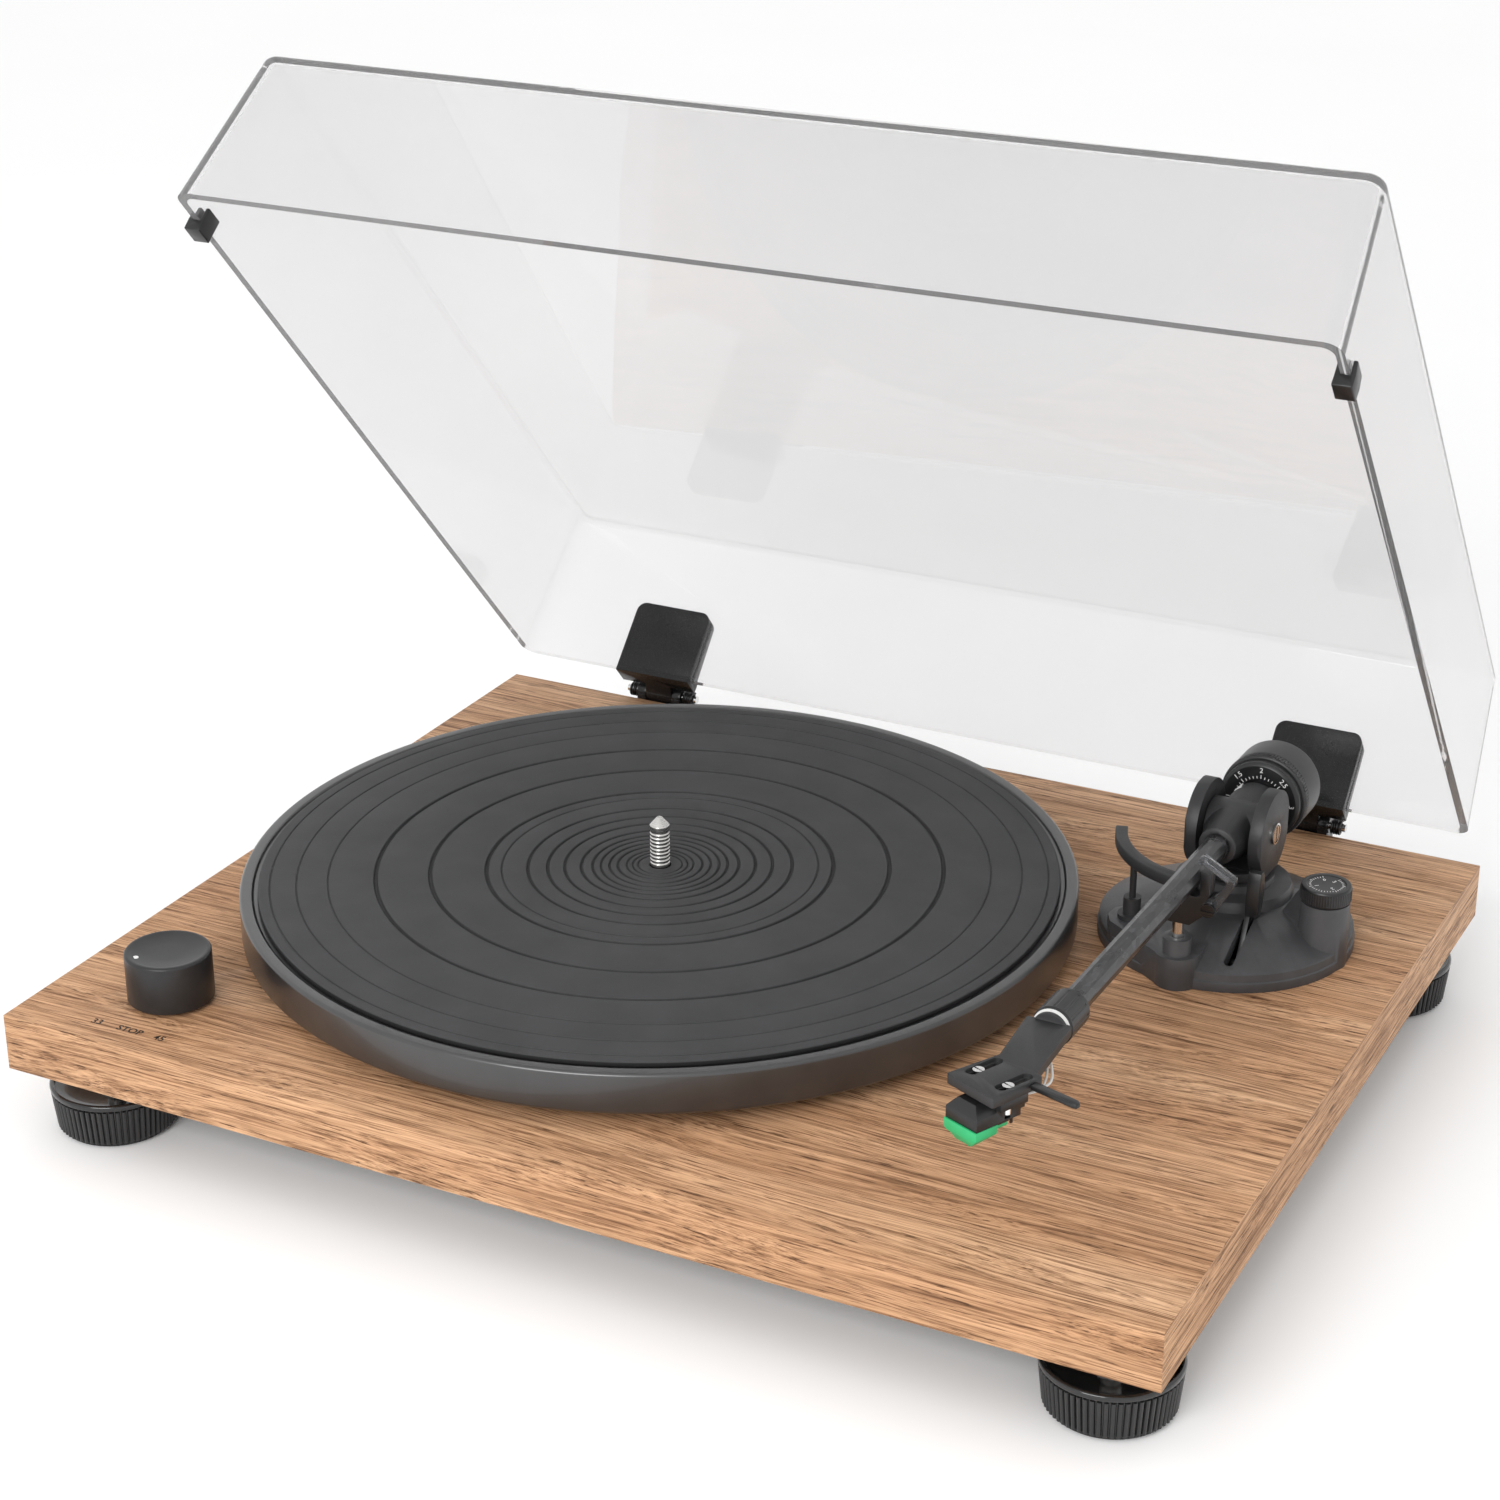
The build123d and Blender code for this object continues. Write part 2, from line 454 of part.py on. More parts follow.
def make_arm_base():
    points = [(0, 0.05), (BASE_R, 0.05), (BASE_R, 3.4), (45.0, 3.7), (45.0, 6.6), (44.4, 7.0)]
    points += [(22.0, cone_top(22.0)), (0, cone_top(22.0))]
    body = lathe(points, BASE_X, BASE_Y)
    body += lathe([(0, 10), (21.5, 10), (21.5, 17.4), (20.6, 20.0), (14.5, 20.6), (14.5, 23.4), (0, 23.4)],
                  PIVOT_X, PIVOT_Y)
    lug = [(147.3, 62), (147.3, 34.0), (139.5, 28.9), (134.0, 27.6), (110.5, 43.5)]
    lug += [(107.8, 48.5), (108.4, 54.5), (113, 58.5), (128, 66)]
    body += slab(lug, 0.05, 12.0)
    body += rod_z(REST_X, REST_Y + 1.0, 0.05, 12.0, 8.0)
    body += rod_z(REST_X, REST_Y, 11, 18.0, 5.0)
    body += rod_z(DIAL_X, DIAL_Y, 0.05, 24.0, 8.7)
    body += slab([(165, 70), (180, 61.5), (180, 78.5), (165, 90)], 3, 16.5)
    body += ring(BASE_X, BASE_Y, -9.0, 0.5, 37.2, 34.5)
    hollow = [(0, -10), (34.5, -10), (34.5, 3.0), (38.5, 3.0), (21.0, 11.6), (0, 11.6)]
    body -= lathe(hollow, BASE_X, BASE_Y)
    for s in (-1, 1):
        x0 = LEVER_X + s * 5.2 - 1.4
        body += box(x0, x0 + 2.8, LEVER_Y - 3.2, LEVER_Y + 3.2, LEVER_Z - 3.2, 10.6)
    body -= rod_x(LEVER_Y, LEVER_Z, LEVER_X - 12, LEVER_X + 12, 1.5 + RUNNING_FIT)
    body -= box(LEVER_X - 1.7, LEVER_X + 1.7, 38.0, 60.5, 3, 30)
    body -= rod_z(LEVER_X, 38.0, 3, 30, 1.7) + rod_z(LEVER_X, 60.5, 3, 30, 1.7)
    body -= rod_z(PIVOT_X, PIVOT_Y, -12, 30, 9.0)
    body -= rod_z(LIFT_X, LIFT_Y, -2, 30, 3.2) + rod_z(LIFT_X, LIFT_Y, 12.0, 30, 5.4)
    body -= rod_z(REST_X, REST_Y, 12, 30, 2.1)
    body -= rod_z(DIAL_X, DIAL_Y, 4, 30, 2.5 + RUNNING_FIT)
    for x, y in BASE_SCREWS:
        body -= rod_z(x, y, -2, 3.0, 1.5)
    return body


def make_arm_bearing():
    body = lathe([(0, -11), (8.95, -11), (8.95, 23.5), (4.5, 23.5), (4.5, -9), (0, -9)], PIVOT_X, PIVOT_Y)
    return body


def make_lift_cylinder():
    body = ring(LIFT_X, LIFT_Y, 3.2, 20.0, 3.15, 1.2 + RUNNING_FIT)
    return body + ring(LIFT_X, LIFT_Y, 12.05, 13.6, 5.0, 1.2 + RUNNING_FIT)


def make_lift_bar():
    low, high, inner, outer = 32.4, 36.9, LIFT_REACH - 2.2, LIFT_REACH + 2.2
    bar = ring(PIVOT_X, PIVOT_Y, low, high, outer, inner)
    bar &= slab([(PIVOT_X, PIVOT_Y)] + around(1, 60, PIVOT_X, PIVOT_Y, 195) + around(1, 80, PIVOT_X, PIVOT_Y, 233)
                + around(1, 60, PIVOT_X, PIVOT_Y, 272), 20, 60)
    return bar + rod_z(LIFT_X, LIFT_Y, 8.0, low + 1.0, 1.2)


def make_arm_rest():
    outline = [(134.6, 24.6), (144.5, 24.6), (150.9, 30.5), (150.9, 45.2), (147.6, 45.8), (147.6, 36.6)]
    outline += [(146.4, 35.9), (138.6, 35.9), (134.2, 34.8)]
    body = front_slab(outline, REST_Y - 3.0, REST_Y + 3.0)
    body -= rod_z(REST_X, REST_Y, 20, 29.0, 2.0)
    body += rod_y(CLIP_X, CLIP_Z, REST_Y - 3.0, REST_Y + 3.0, 2.2)
    return body - rod_y(CLIP_X, CLIP_Z, REST_Y - 12, REST_Y + 8, 1.2)


def make_rest_screw():
    screw = rod_y(CLIP_X, CLIP_Z, REST_Y - 9.2, REST_Y - 7.9, 2.5) + rod_y(CLIP_X, CLIP_Z, REST_Y - 8.0, REST_Y + 2.8, 1.2)
    return screw - box(CLIP_X - 3, CLIP_X + 3, REST_Y - 10, REST_Y - 8.7, CLIP_Z - 0.35, CLIP_Z + 0.35)


def make_rest_clip():
    """Hook over the tube, drawn latched about its screw, then swung open."""
    outline = [(-1.5, -2.0), (1.7, -1.4), (2.4, 4), (2.2, 13.0), (1.2, 14.6), (-12.0, 14.6), (-12.8, 13.8)]
    outline += [(-12.6, 11.4), (-11.4, 11.4), (-10.6, 12.5), (-1.2, 12.5), (-0.6, 11.8), (-0.6, 4), (-1.5, 1)]
    hook = front_slab(outline, -7.6, -3.4) + rod_y(0, 0, -7.6, -3.4, 2.6)
    hook -= rod_y(0, 0, -8, 2, 1.2 + RUNNING_FIT)
    return Pos(CLIP_X, REST_Y, CLIP_Z) * Rot(0, CLIP_OPEN, 0) * hook


def make_cue_lever():
    rod = [(-1.1, 0), (1.1, 0), (10.0, 13.2), (10.0, 16.0), (7.4, 16.0)]
    lever = side_slab([(LEVER_Y + a, LEVER_Z + b) for a, b in rod], LEVER_X - 0.9, LEVER_X + 0.9)
    lever += rod_x(LEVER_Y, LEVER_Z, LEVER_X - 7.0, LEVER_X + 7.0, 1.5)
    handle = [(6.9, 15.4), (10.6, 15.4), (12.4, 20), (13.4, 25), (13.0, 29.4), (11.2, 31.8), (8.6, 31.6), (7.4, 28)]
    handle += [(6.6, 21)]
    blade = side_slab([(LEVER_Y + a, LEVER_Z + b) for a, b in handle], LEVER_X - 0.9, LEVER_X + 3.7)
    return lever + blade


def make_anti_skate():
    dial = lathe([(0, 8), (2.5, 8), (2.5, 24.4), (8.8, 24.4), (9.0, 24.7), (9.0, 29.6), (8.5, 30.2), (6.4, 30.2),
                  (6.2, 29.9), (0, 29.9)], DIAL_X, DIAL_Y)
    for x, y in around(36, 9.15, DIAL_X, DIAL_Y):
        dial -= rod_z(x, y, 25.2, 29.0, 0.3)
    return dial


# ---- tonearm (drawn level along -Y about its pivot) --------------------------------------------------
def make_yoke():
    body = rod_z(0, 0, -14.5, 15.4, 20.4) & box(-14.2, 14.2, -20, 20, -20, 20)
    body = body & rod_x(0, 0, -20, 20, 15.6)
    body -= box(-9.6, 9.6, -20, 20, -11.2, 20)
    body += rod_z(0, 0, -16.6, -13.2, 12.6) + rod_z(0, 0, -44, -13, 4.5 - RUNNING_FIT)
    return YOKE_AT * (body - rod_x(0, 0, -20, 20, 2.3))


def make_pivot_screws():
    found = []
    for s in (-1, 1):
        turned = Rot(0, 90 * s, 0)
        shape = lathe([(0, 8.0), (2.25, 10.4), (2.25, 14.25), (2.9, 14.25), (2.9, 14.9), (0, 14.9)])
        shape -= box(-3, 3, -0.35, 0.35, 14.3, 16)
        shape += ring(0, 0, 14.25, 15.0, 3.9, 3.2)
        found.append(YOKE_AT * turned * shape)
    return solids(*found)


def make_pivot_block():
    body = lathe_y([(0, -9), (9.0, -9), (6.8, -18.4), (6.8, -20.2), (6.2, -20.6), (0, -20.6)])
    body += rod_y(0, 0, -9.0, 9.0, 9.0) + rod_x(0, 0, -9.2, 9.2, 9.4)
    body += lathe_y([(0, 8), (9.0, 8), (9.0, 15.2), (8.8, 20.4), (8.2, 21.2), (0, 21.2)])
    body -= rod_y(0, 0, -22, -12, 4.6)
    body -= rod_y(0, 0, 12, 22, 4.0)
    for s in (-1, 1):
        body -= Rot(0, 90 * s, 0) * lathe([(0, 7.6), (2.4, 9.8), (2.4, 11), (0, 11)])
    return ARM_AT * body


HEAD = Pos(0.6, 0, -0.6)


def tube_section(y, w, h, dx=0.0, dz=0.0):
    """Flat-sided tube section: rounded crown, two sharp side lines, narrower keel."""
    points = [(-w, 0.25 * h), (-0.72 * w, 0.8 * h), (-0.3 * w, h), (0.3 * w, h), (0.72 * w, 0.8 * h), (w, 0.25 * h)]
    points += [(0.62 * w, -0.85 * h), (0.25 * w, -h), (-0.25 * w, -h), (-0.62 * w, -0.85 * h)]
    return make_face(Polyline(*[(x + dx, y, z + dz) for x, z in points], close=True))


def make_tube():
    outer = loft([tube_section(-20.7, 4.5, 4.1), tube_section(-155.4, 4.4, 4.1, 0.6, -0.6)], ruled=True)
    inner = loft([tube_section(-20.6, 3.7, 3.3), tube_section(-155.6, 3.6, 3.3, 0.6, -0.6)], ruled=True)
    plug = rod_y(0, 0, -24, -12.2, 4.55) - rod_y(0, 0, -26, -10, 2.4)
    end = HEAD * (rod_y(0, 0, -166, -154.4, 2.75) - rod_y(0, 0, -168, -153, 1.8))
    end += HEAD * (rod_y(0, 0, -155.4, -154.4, 3.4) - rod_y(0, 0, -156, -153, 1.8))
    return ARM_AT * ((outer - inner) + plug + end)


def make_collar():
    body = lathe_y([(0, -155.6), (5.6, -155.6), (6.7, -157.2), (6.8, -171.2), (6.2, -172.0), (0, -172.0)])
    for i in range(12):
        a = math.radians(30 * i)
        body -= rod_y(7.35 * math.cos(a), 7.35 * math.sin(a), -170.6, -158.6, 0.8)
    return ARM_AT * HEAD * (body - rod_y(0, 0, -168, -150, 2.8))


def make_gasket():
    return ARM_AT * HEAD * (rod_y(0, 0, -173.0, -172.05, 6.3) - rod_y(0, 0, -175, -170, 4.2))


SCREW_MID = (-0.65, -214.7)


def plate_frame():
    """Frame of the offset cartridge plate: forward along its own -Y."""
    return Pos(SCREW_MID[0], SCREW_MID[1], 0) * Rot(0, 0, -OFFSET_ANGLE)


def make_headshell():
    outline = [(-7.1, -173.6), (7.9, -173.6), (9.9, -206.4), (12.5, -208.0), (4.9, -227.8), (-13.9, -219.4)]
    outline += [(-4.6, -201.0)]
    body = slab(outline, -0.9, 2.4)
    body = fillet(body.edges().filter_by(Axis.Z), 0.8)
    body += HEAD * rod_y(0, 0, -174.4, -173.05, 5.8)
    hook = [(-174.2, -0.8), (-186, -0.8), (-183, -3.6), (-179.6, -5.2), (-177.8, -9.4), (-175, -9.4)]
    body += side_slab(hook, -2.6, 2.6)
    for s in (-1, 1):
        for half, low, top in ((1.3, -3.0, 0.95), (1.95, 0.95, 5.0)):
            slot = box(-half, half, -5.2, 5.2, low, top) + rod_z(0, -5.2, low, top, half) + rod_z(0, 5.2, low, top, half)
            body -= plate_frame() * Pos(s * 6.35, 2.4, 0) * slot
    return ARM_AT * body


def make_finger_lift():
    body = slab([(11.6, -210.5), (27.0, -215.2), (28.0, -216.6), (27.4, -218.2), (25.9, -218.2), (10.7, -213.5)], 0.2, 1.8)
    return ARM_AT * body


def make_cartridge():
    body = box(-9.0, 9.0, -5.2, 6.0, -4.4, -0.95)
    nose = [(-3.8, -2.2), (3.8, -2.2), (6.7, -5.6), (6.7, -9.6), (-6.7, -9.6), (-6.7, -5.6)]
    body += front_slab(nose, -12.8, -4.0) & side_slab([(-13, -10), (-13, -5.8), (-10.6, -2.0), (-3, -2.0), (-3, -10)], -8, 8)
    body += box(-6.7, 6.7, -4.6, 5.4, -9.6, -2.2) + box(-5.4, 5.4, 5.0, 8.4, -8.4, -2.4)
    body += box(-4.9, 4.9, -6.0, 2.4, -11.4, -9.5)
    for s in (-1, 1):
        body -= rod_z(s * 6.35, 0, -9, 2, 1.25)
        body += box(s * 4.6 - 0.35, s * 4.6 + 0.35, 3.2, 4.0, -12.6, -9.5)
    return ARM_AT * plate_frame() * body


def make_stylus():
    """Removable guard under the cartridge, with the needle's arm and tip."""
    side = [(-13.3, -9.65), (-4.2, -9.65), (-4.6, -13.0), (-8.4, -15.9), (-11.6, -15.9), (-13.0, -13.4)]
    front = [(-6.9, -9.65), (6.9, -9.65), (6.9, -12.4), (3.4, -15.9), (-3.4, -15.9), (-4.6, -13.6), (-5.6, -13.6)]
    front += [(-6.9, -12.9)]
    body = side_slab(side, -7, 7) & front_slab(front, -14, -4)
    body -= box(-4.95, 4.95, -6.05, 0, -11.5, -9.6)
    body += box(-4.7, 4.7, -5.2, 1.9, -12.6, -11.45)
    cantilever = side_slab([(-7.0, -15.4), (-6.4, -15.8), (-9.1, -17.2), (-9.6, -17.0)], -0.35, 0.35)
    tip = Pos(0, -9.3, -17.3) * Cylinder(0.25, 1.0)
    return ARM_AT * plate_frame() * (body + cantilever + tip)


def make_cartridge_screws():
    found = []
    for s in (-1, 1):
        screw = rod_z(s * 6.35, 0, 1.0, 2.2, 1.85) + rod_z(s * 6.35, 0, -7.4, 1.0, 1.2)
        screw -= box(s * 6.35 - 2.2, s * 6.35 + 2.2, -0.3, 0.3, 1.6, 3)
        found.append(ARM_AT * plate_frame() * screw)
    return solids(*found)


def make_leads():
    """Four short signal leads from the cartridge's pins to the plug under the headshell."""
    found = []
    for i in range(4):
        x0, z0 = -3.3 + 2.2 * i, -7.0 + 2.6 * (i % 2)
        x1 = -8.6 + 1.7 * i
        points = [(x0, 8.45, z0), (x0 + 0.3, 11.0, z0), (x0 + 1.0 + 0.6 * i, 16.0, z0 + 0.5)]
        points += [(x1 + 4.6 + 0.5 * i, 22.5, -3.4), (x1, 27.0, -1.45)]
        path = Spline(*points)
        tube = sweep(Plane(origin=path @ 0, z_dir=path % 0) * Circle(0.42), path=path)
        found.append(ARM_AT * plate_frame() * tube)
    return solids(*found)


def make_stub():
    return ARM_AT * lathe_y([(0, 12.5), (4.0, 12.5), (4.0, 49.4), (3.5, 49.9), (0, 49.9)])


SLEEVE_R = 5.6


def make_sleeve():
    body = rod_y(0, 0, 24.2, 47.0, SLEEVE_R - RUNNING_FIT) - rod_y(0, 0, 20, 50, 4.0 + RUNNING_FIT)
    return ARM_AT * body


def make_counterweight():
    body = lathe_y([(0, 28.4), (15.6, 28.4), (16.4, 28.8), (16.4, 32.4), (16.0, 32.8), (16.0, 45.6), (14.6, 47.0),
                    (0, 47.0)])
    body -= rod_y(0, 0, 20, 50, SLEEVE_R)
    for i in range(60):
        a = math.radians(6 * i)
        body -= rod_y(16.6 * math.cos(a), 16.6 * math.sin(a), 29.2, 32.0, 0.4)
    body += lathe_y([(SLEEVE_R + 0.4, 26.2), (8.0, 26.2), (8.0, 29), (SLEEVE_R + 0.4, 29)])
    return ARM_AT * body


def make_force_dial():
    body = lathe_y([(8.0 + RUNNING_FIT, 24.4), (13.6, 24.4), (14.8, 25.2), (14.8, 28.0), (8.0 + RUNNING_FIT, 28.0)])
    return ARM_AT * body


def build_all():
    parts = {
        "plinth": make_plinth(),
        "bottom_cover": make_bottom_cover(),
        "chassis_screws": make_screws(),
        "bearing_housing": make_bearing_housing(),
        "bearing_bushes": solids(*[ring(PLATTER_X, PLATTER_Y, z, z + 5, 4.85, SHAFT_R + RUNNING_FIT) for z in (-13, -2.5)]),
        "thrust_ball": Pos(PLATTER_X, PLATTER_Y, -15.0) * Sphere(1.0),
        "drive_belt": make_belt(),
        "motor_can": make_motor_can(),
        "motor_plate": make_motor_plate(),
        "motor_grommets": make_grommets(),
        "circuit_board": make_board(),
        "board_parts": make_board_parts(),
        "speed_switch": make_speed_switch(),
        "rear_panel": make_rear_panel(),
        "rca_jacks": make_rca_jacks(),
        "jack_inserts": make_jack_inserts(),
        "hinge_bases": solids(*[make_hinge_base(s * HINGE_X) for s in (-1, 1)]),
        "hinge_pins": solids(*[rod_x(HINGE_Y, HINGE_Z, s * HINGE_X - 16.2, s * HINGE_X + 16.2, 1.6) for s in (-1, 1)]),
        "hinge_springs": solids(*[make_hinge_spring(s * HINGE_X, t) for s in (-1, 1) for t in (-1, 1)]),
        "arm_base": make_arm_base(),
        "arm_bearing": make_arm_bearing(),
        "lift_cylinder": make_lift_cylinder(),
        "rest_stem": rod_z(REST_X, REST_Y, 12.05, 28.9, 2.0),
        "arm_rest": make_arm_rest(),
        "rest_screw": make_rest_screw(),
        "ground_knob": make_ground_knob(),
        "line_switch": make_line_switch(),
        "spindle": make_spindle(),
        "platter": make_platter(),
        "mat": make_mat(),
        "motor_pulley": make_pulley(),
        "speed_knob": make_speed_knob(),
        "hinge_leaves": solids(*[OPEN * make_leaf(s * HINGE_X) for s in (-1, 1)]),
        "dust_cover": make_dust_cover(),
        "cover_bumpers": solids(*[OPEN * make_clip(s) for s in (-1, 1)]),
        "arm_yoke": make_yoke(),
        "pivot_screws": make_pivot_screws(),
        "pivot_block": make_pivot_block(),
        "arm_tube": make_tube(),
        "headshell_collar": make_collar(),
        "headshell_gasket": make_gasket(),
        "headshell": make_headshell(),
        "finger_lift": make_finger_lift(),
        "cartridge": make_cartridge(),
        "stylus": make_stylus(),
        "cartridge_screws": make_cartridge_screws(),
        "cartridge_leads": make_leads(),
        "weight_stub": make_stub(),
        "weight_sleeve": make_sleeve(),
        "counterweight": make_counterweight(),
        "force_dial": make_force_dial(),
        "lift_bar": make_lift_bar(),
        "cue_lever": make_cue_lever(),
        "anti_skate_dial": make_anti_skate(),
        "rest_clip": make_rest_clip(),
    }
    for name, (x, y) in zip(("front_left", "front_right", "rear_left", "rear_right"), FEET):
        parts["foot_" + name] = make_foot(x, y)
    return parts


if __name__ == "__main__":
    os.makedirs("parts", exist_ok=True)
    for name, shape in build_all().items():
        export_step(SHIFT * shape, f"parts/{name}.step")
        print(name, len(shape.solids()), round(shape.volume, 1))
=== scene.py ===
import bpy
import bmesh
import math
from mathutils import Matrix, Vector


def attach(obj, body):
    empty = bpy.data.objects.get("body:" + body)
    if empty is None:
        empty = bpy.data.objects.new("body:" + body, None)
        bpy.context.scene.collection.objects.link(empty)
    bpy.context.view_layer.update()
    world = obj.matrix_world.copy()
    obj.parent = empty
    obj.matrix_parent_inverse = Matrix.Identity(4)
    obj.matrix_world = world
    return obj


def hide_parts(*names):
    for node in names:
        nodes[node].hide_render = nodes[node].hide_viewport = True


# Looks of a belt-driven record player: veneered plinth, black platter and mat, straight carbon
# tonearm, clear hinged cover. Lengths are millimetres on the deck unless a line says otherwise.

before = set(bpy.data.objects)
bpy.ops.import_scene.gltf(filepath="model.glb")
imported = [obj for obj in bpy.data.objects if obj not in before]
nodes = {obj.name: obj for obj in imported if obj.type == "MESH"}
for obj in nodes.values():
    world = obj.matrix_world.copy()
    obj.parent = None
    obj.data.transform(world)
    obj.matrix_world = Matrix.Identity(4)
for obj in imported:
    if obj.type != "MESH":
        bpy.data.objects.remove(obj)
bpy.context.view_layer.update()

# ---- where things sit --------------------------------------------------------------------------
MM = 0.001
DECK = Matrix.Translation((0, -0.0211, 0.048)) @ Matrix.Scale(MM, 4)


def shift(x=0.0, y=0.0, z=0.0):
    return Matrix.Translation((x, y, z))


def turn(degrees, axis):
    return Matrix.Rotation(math.radians(degrees), 4, axis)


YOKE = DECK @ shift(143.0, 80.0, 40.5) @ turn(-0.5, "Z")
ARM = YOKE @ turn(-1.4, "X")
PLATTER = DECK @ shift(-43.4, -5.5, 0)
KNOB = DECK @ shift(-165.5, -134.5, 0)
BIAS_DIAL = DECK @ shift(180.0, 70.0, 0)
FEET = {
    "front_left": (-185.6, -144.5),
    "front_right": (185.6, -144.5),
    "rear_left": (-185.6, 144.5),
    "rear_right": (185.6, 144.5),
}


# ---- finishes ----------------------------------------------------------------------------------
class Finish:
    """A node material put together step by step on Object coordinates, counted in millimetres."""

    def __init__(self, name):
        self.material = bpy.data.materials.new(name)
        self.material.use_nodes = True
        self.nodes = self.material.node_tree.nodes
        self.links = self.material.node_tree.links
        self.shader = self.nodes["Principled BSDF"]
        self.where = self.nodes.new("ShaderNodeTexCoord").outputs["Object"]

    def put(self, kind, **settings):
        node = self.nodes.new(kind)
        for key, value in settings.items():
            setattr(node, key, value)
        return node

    def join(self, a, b):
        self.links.new(a, b)

    def stretched(self, scale, source=None, spin=(0, 0, 0), centre=(0, 0, 0)):
        node = self.put("ShaderNodeMapping")
        node.inputs["Location"].default_value = centre
        node.inputs["Rotation"].default_value = [math.radians(a) for a in spin]
        node.inputs["Scale"].default_value = [1000.0 * s for s in scale]
        self.join(source or self.where, node.inputs["Vector"])
        return node.outputs["Vector"]

    def noise(self, vector, scale=1.0, detail=3.0, rough=0.5, distortion=0.0):
        node = self.put("ShaderNodeTexNoise")
        node.inputs["Scale"].default_value = scale
        node.inputs["Detail"].default_value = detail
        node.inputs["Roughness"].default_value = rough
        node.inputs["Distortion"].default_value = distortion
        self.join(vector, node.inputs["Vector"])
        return node.outputs["Fac"]

    def ramp(self, source, stops):
        node = self.put("ShaderNodeValToRGB")
        bar = node.color_ramp
        while len(bar.elements) < len(stops):
            bar.elements.new(0.5)
        for element, (position, colour) in zip(bar.elements, stops):
            element.position = position
            element.color = (*colour, 1.0)
        self.join(source, node.inputs["Fac"])
        return node.outputs["Color"]

    def grade(self, source, low, high, start=0.3, end=0.7):
        node = self.put("ShaderNodeMapRange")
        node.inputs["From Min"].default_value = start
        node.inputs["From Max"].default_value = end
        node.inputs["To Min"].default_value = low
        node.inputs["To Max"].default_value = high
        self.join(source, node.inputs["Value"])
        return node.outputs["Result"]

    def sum(self, a, b, kind="ADD"):
        node = self.put("ShaderNodeMath", operation=kind)
        for socket, value in zip(node.inputs, (a, b)):
            if isinstance(value, (int, float)):
                socket.default_value = value
            else:
                self.join(value, socket)
        return node.outputs["Value"]

    def blend(self, factor, first, second, kind="MIX"):
        node = self.put("ShaderNodeMix", data_type="RGBA", blend_type=kind)
        if isinstance(factor, (int, float)):
            node.inputs[0].default_value = factor
        else:
            self.join(factor, node.inputs[0])
        for socket, value in ((node.inputs[6], first), (node.inputs[7], second)):
            if isinstance(value, tuple):
                socket.default_value = (*value, 1.0)
            else:
                self.join(value, socket)
        return node.outputs[2]

    def relief(self, height, strength, depth_mm, under=None):
        node = self.put("ShaderNodeBump")
        node.inputs["Strength"].default_value = strength
        node.inputs["Distance"].default_value = depth_mm * MM
        self.join(height, node.inputs["Height"])
        if under is not None:
            self.join(under, node.inputs["Normal"])
        return node.outputs["Normal"]

    def set(self, **values):
        names = {
            "colour": "Base Color", "rough": "Roughness", "metal": "Metallic", "normal": "Normal",
            "coat": "Coat Weight", "coat_rough": "Coat Roughness", "clear": "Transmission Weight",
            "bends": "IOR", "sheen": "Sheen Weight", "shine": "Specular IOR Level",
            "brushed": "Anisotropic",
        }
        for key, value in values.items():
            socket = self.shader.inputs[names[key]]
            if isinstance(value, (int, float)):
                socket.default_value = value
            elif isinstance(value, tuple):
                socket.default_value = (*value, 1.0)
            else:
                self.join(value, socket)
        return self


def tinted(colour, by):
    return tuple(max(0.0, min(1.0, c * by)) for c in colour)


def moulded(name, colour, rough, pebble=2.2, relief=0.05, coat=0.0, shine=0.5, spread=0.22):
    """Moulded plastic or paint: fine pebble in the surface, faint clouding of tone and gloss."""
    f = Finish(name)
    at = f.stretched((1, 1, 1))
    cloud = f.noise(at, 0.07, 3.0, 0.6)
    pebbled = f.noise(at, pebble, 2.0, 0.5)
    tone = f.ramp(cloud, [(0.3, tinted(colour, 1 - spread)), (0.7, tinted(colour, 1 + spread))])
    gloss = f.grade(pebbled, rough - 0.045, rough + 0.045)
    f.set(colour=tone, rough=gloss, normal=f.relief(pebbled, relief, 0.04), coat=coat, shine=shine)
    return f.material


def turned_metal(name, colour, rough, axis="Z", lines=9.0, relief=0.08):
    """Metal with fine tool lines running round its axis."""
    f = Finish(name)
    along = {"X": (lines, 0.02, 0.02), "Y": (0.02, lines, 0.02), "Z": (0.02, 0.02, lines)}[axis]
    tool = f.noise(f.stretched(along), 1.0, 2.0, 0.6)
    cloud = f.noise(f.stretched((1, 1, 1)), 0.25, 3.0, 0.6)
    tone = f.ramp(cloud, [(0.3, tinted(colour, 0.86)), (0.7, tinted(colour, 1.06))])
    f.set(colour=tone, rough=f.grade(tool, rough - 0.05, rough + 0.07), metal=1.0)
    f.set(normal=f.relief(tool, relief, 0.03))
    return f.material


def rubber(name, colour, rough=0.75, grain=3.0, relief=0.16, shine=0.4, top=None):
    """Rubber with a fine grain and a little dust. Below a given height it has painted shade: the colour drops to 0.16
    of its own, as if the groove floors lay in shadow.
    """
    f = Finish(name)
    at = f.stretched((1, 1, 1))
    fine = f.noise(at, grain, 4.0, 0.65)
    dust = f.noise(at, 0.045, 4.0, 0.62)
    tone = f.ramp(dust, [(0.3, tinted(colour, 0.86)), (0.72, tinted(colour, 1.18))])
    # painted shade in the grooves: under the given height the tone blends into a far darker copy of the rubber colour
    if top is not None:
        place = f.put("ShaderNodeSeparateXYZ")
        f.join(f.where, place.inputs[0])
        deep = f.grade(place.outputs["Z"], 1.0, 0.0, (top - 0.45) * MM, (top - 0.08) * MM)
        tone = f.blend(deep, tone, tinted(colour, 0.16))
    f.set(colour=tone, rough=f.grade(fine, rough - 0.06, rough + 0.08), shine=shine)
    f.set(normal=f.relief(fine, relief, 0.05))
    return f.material


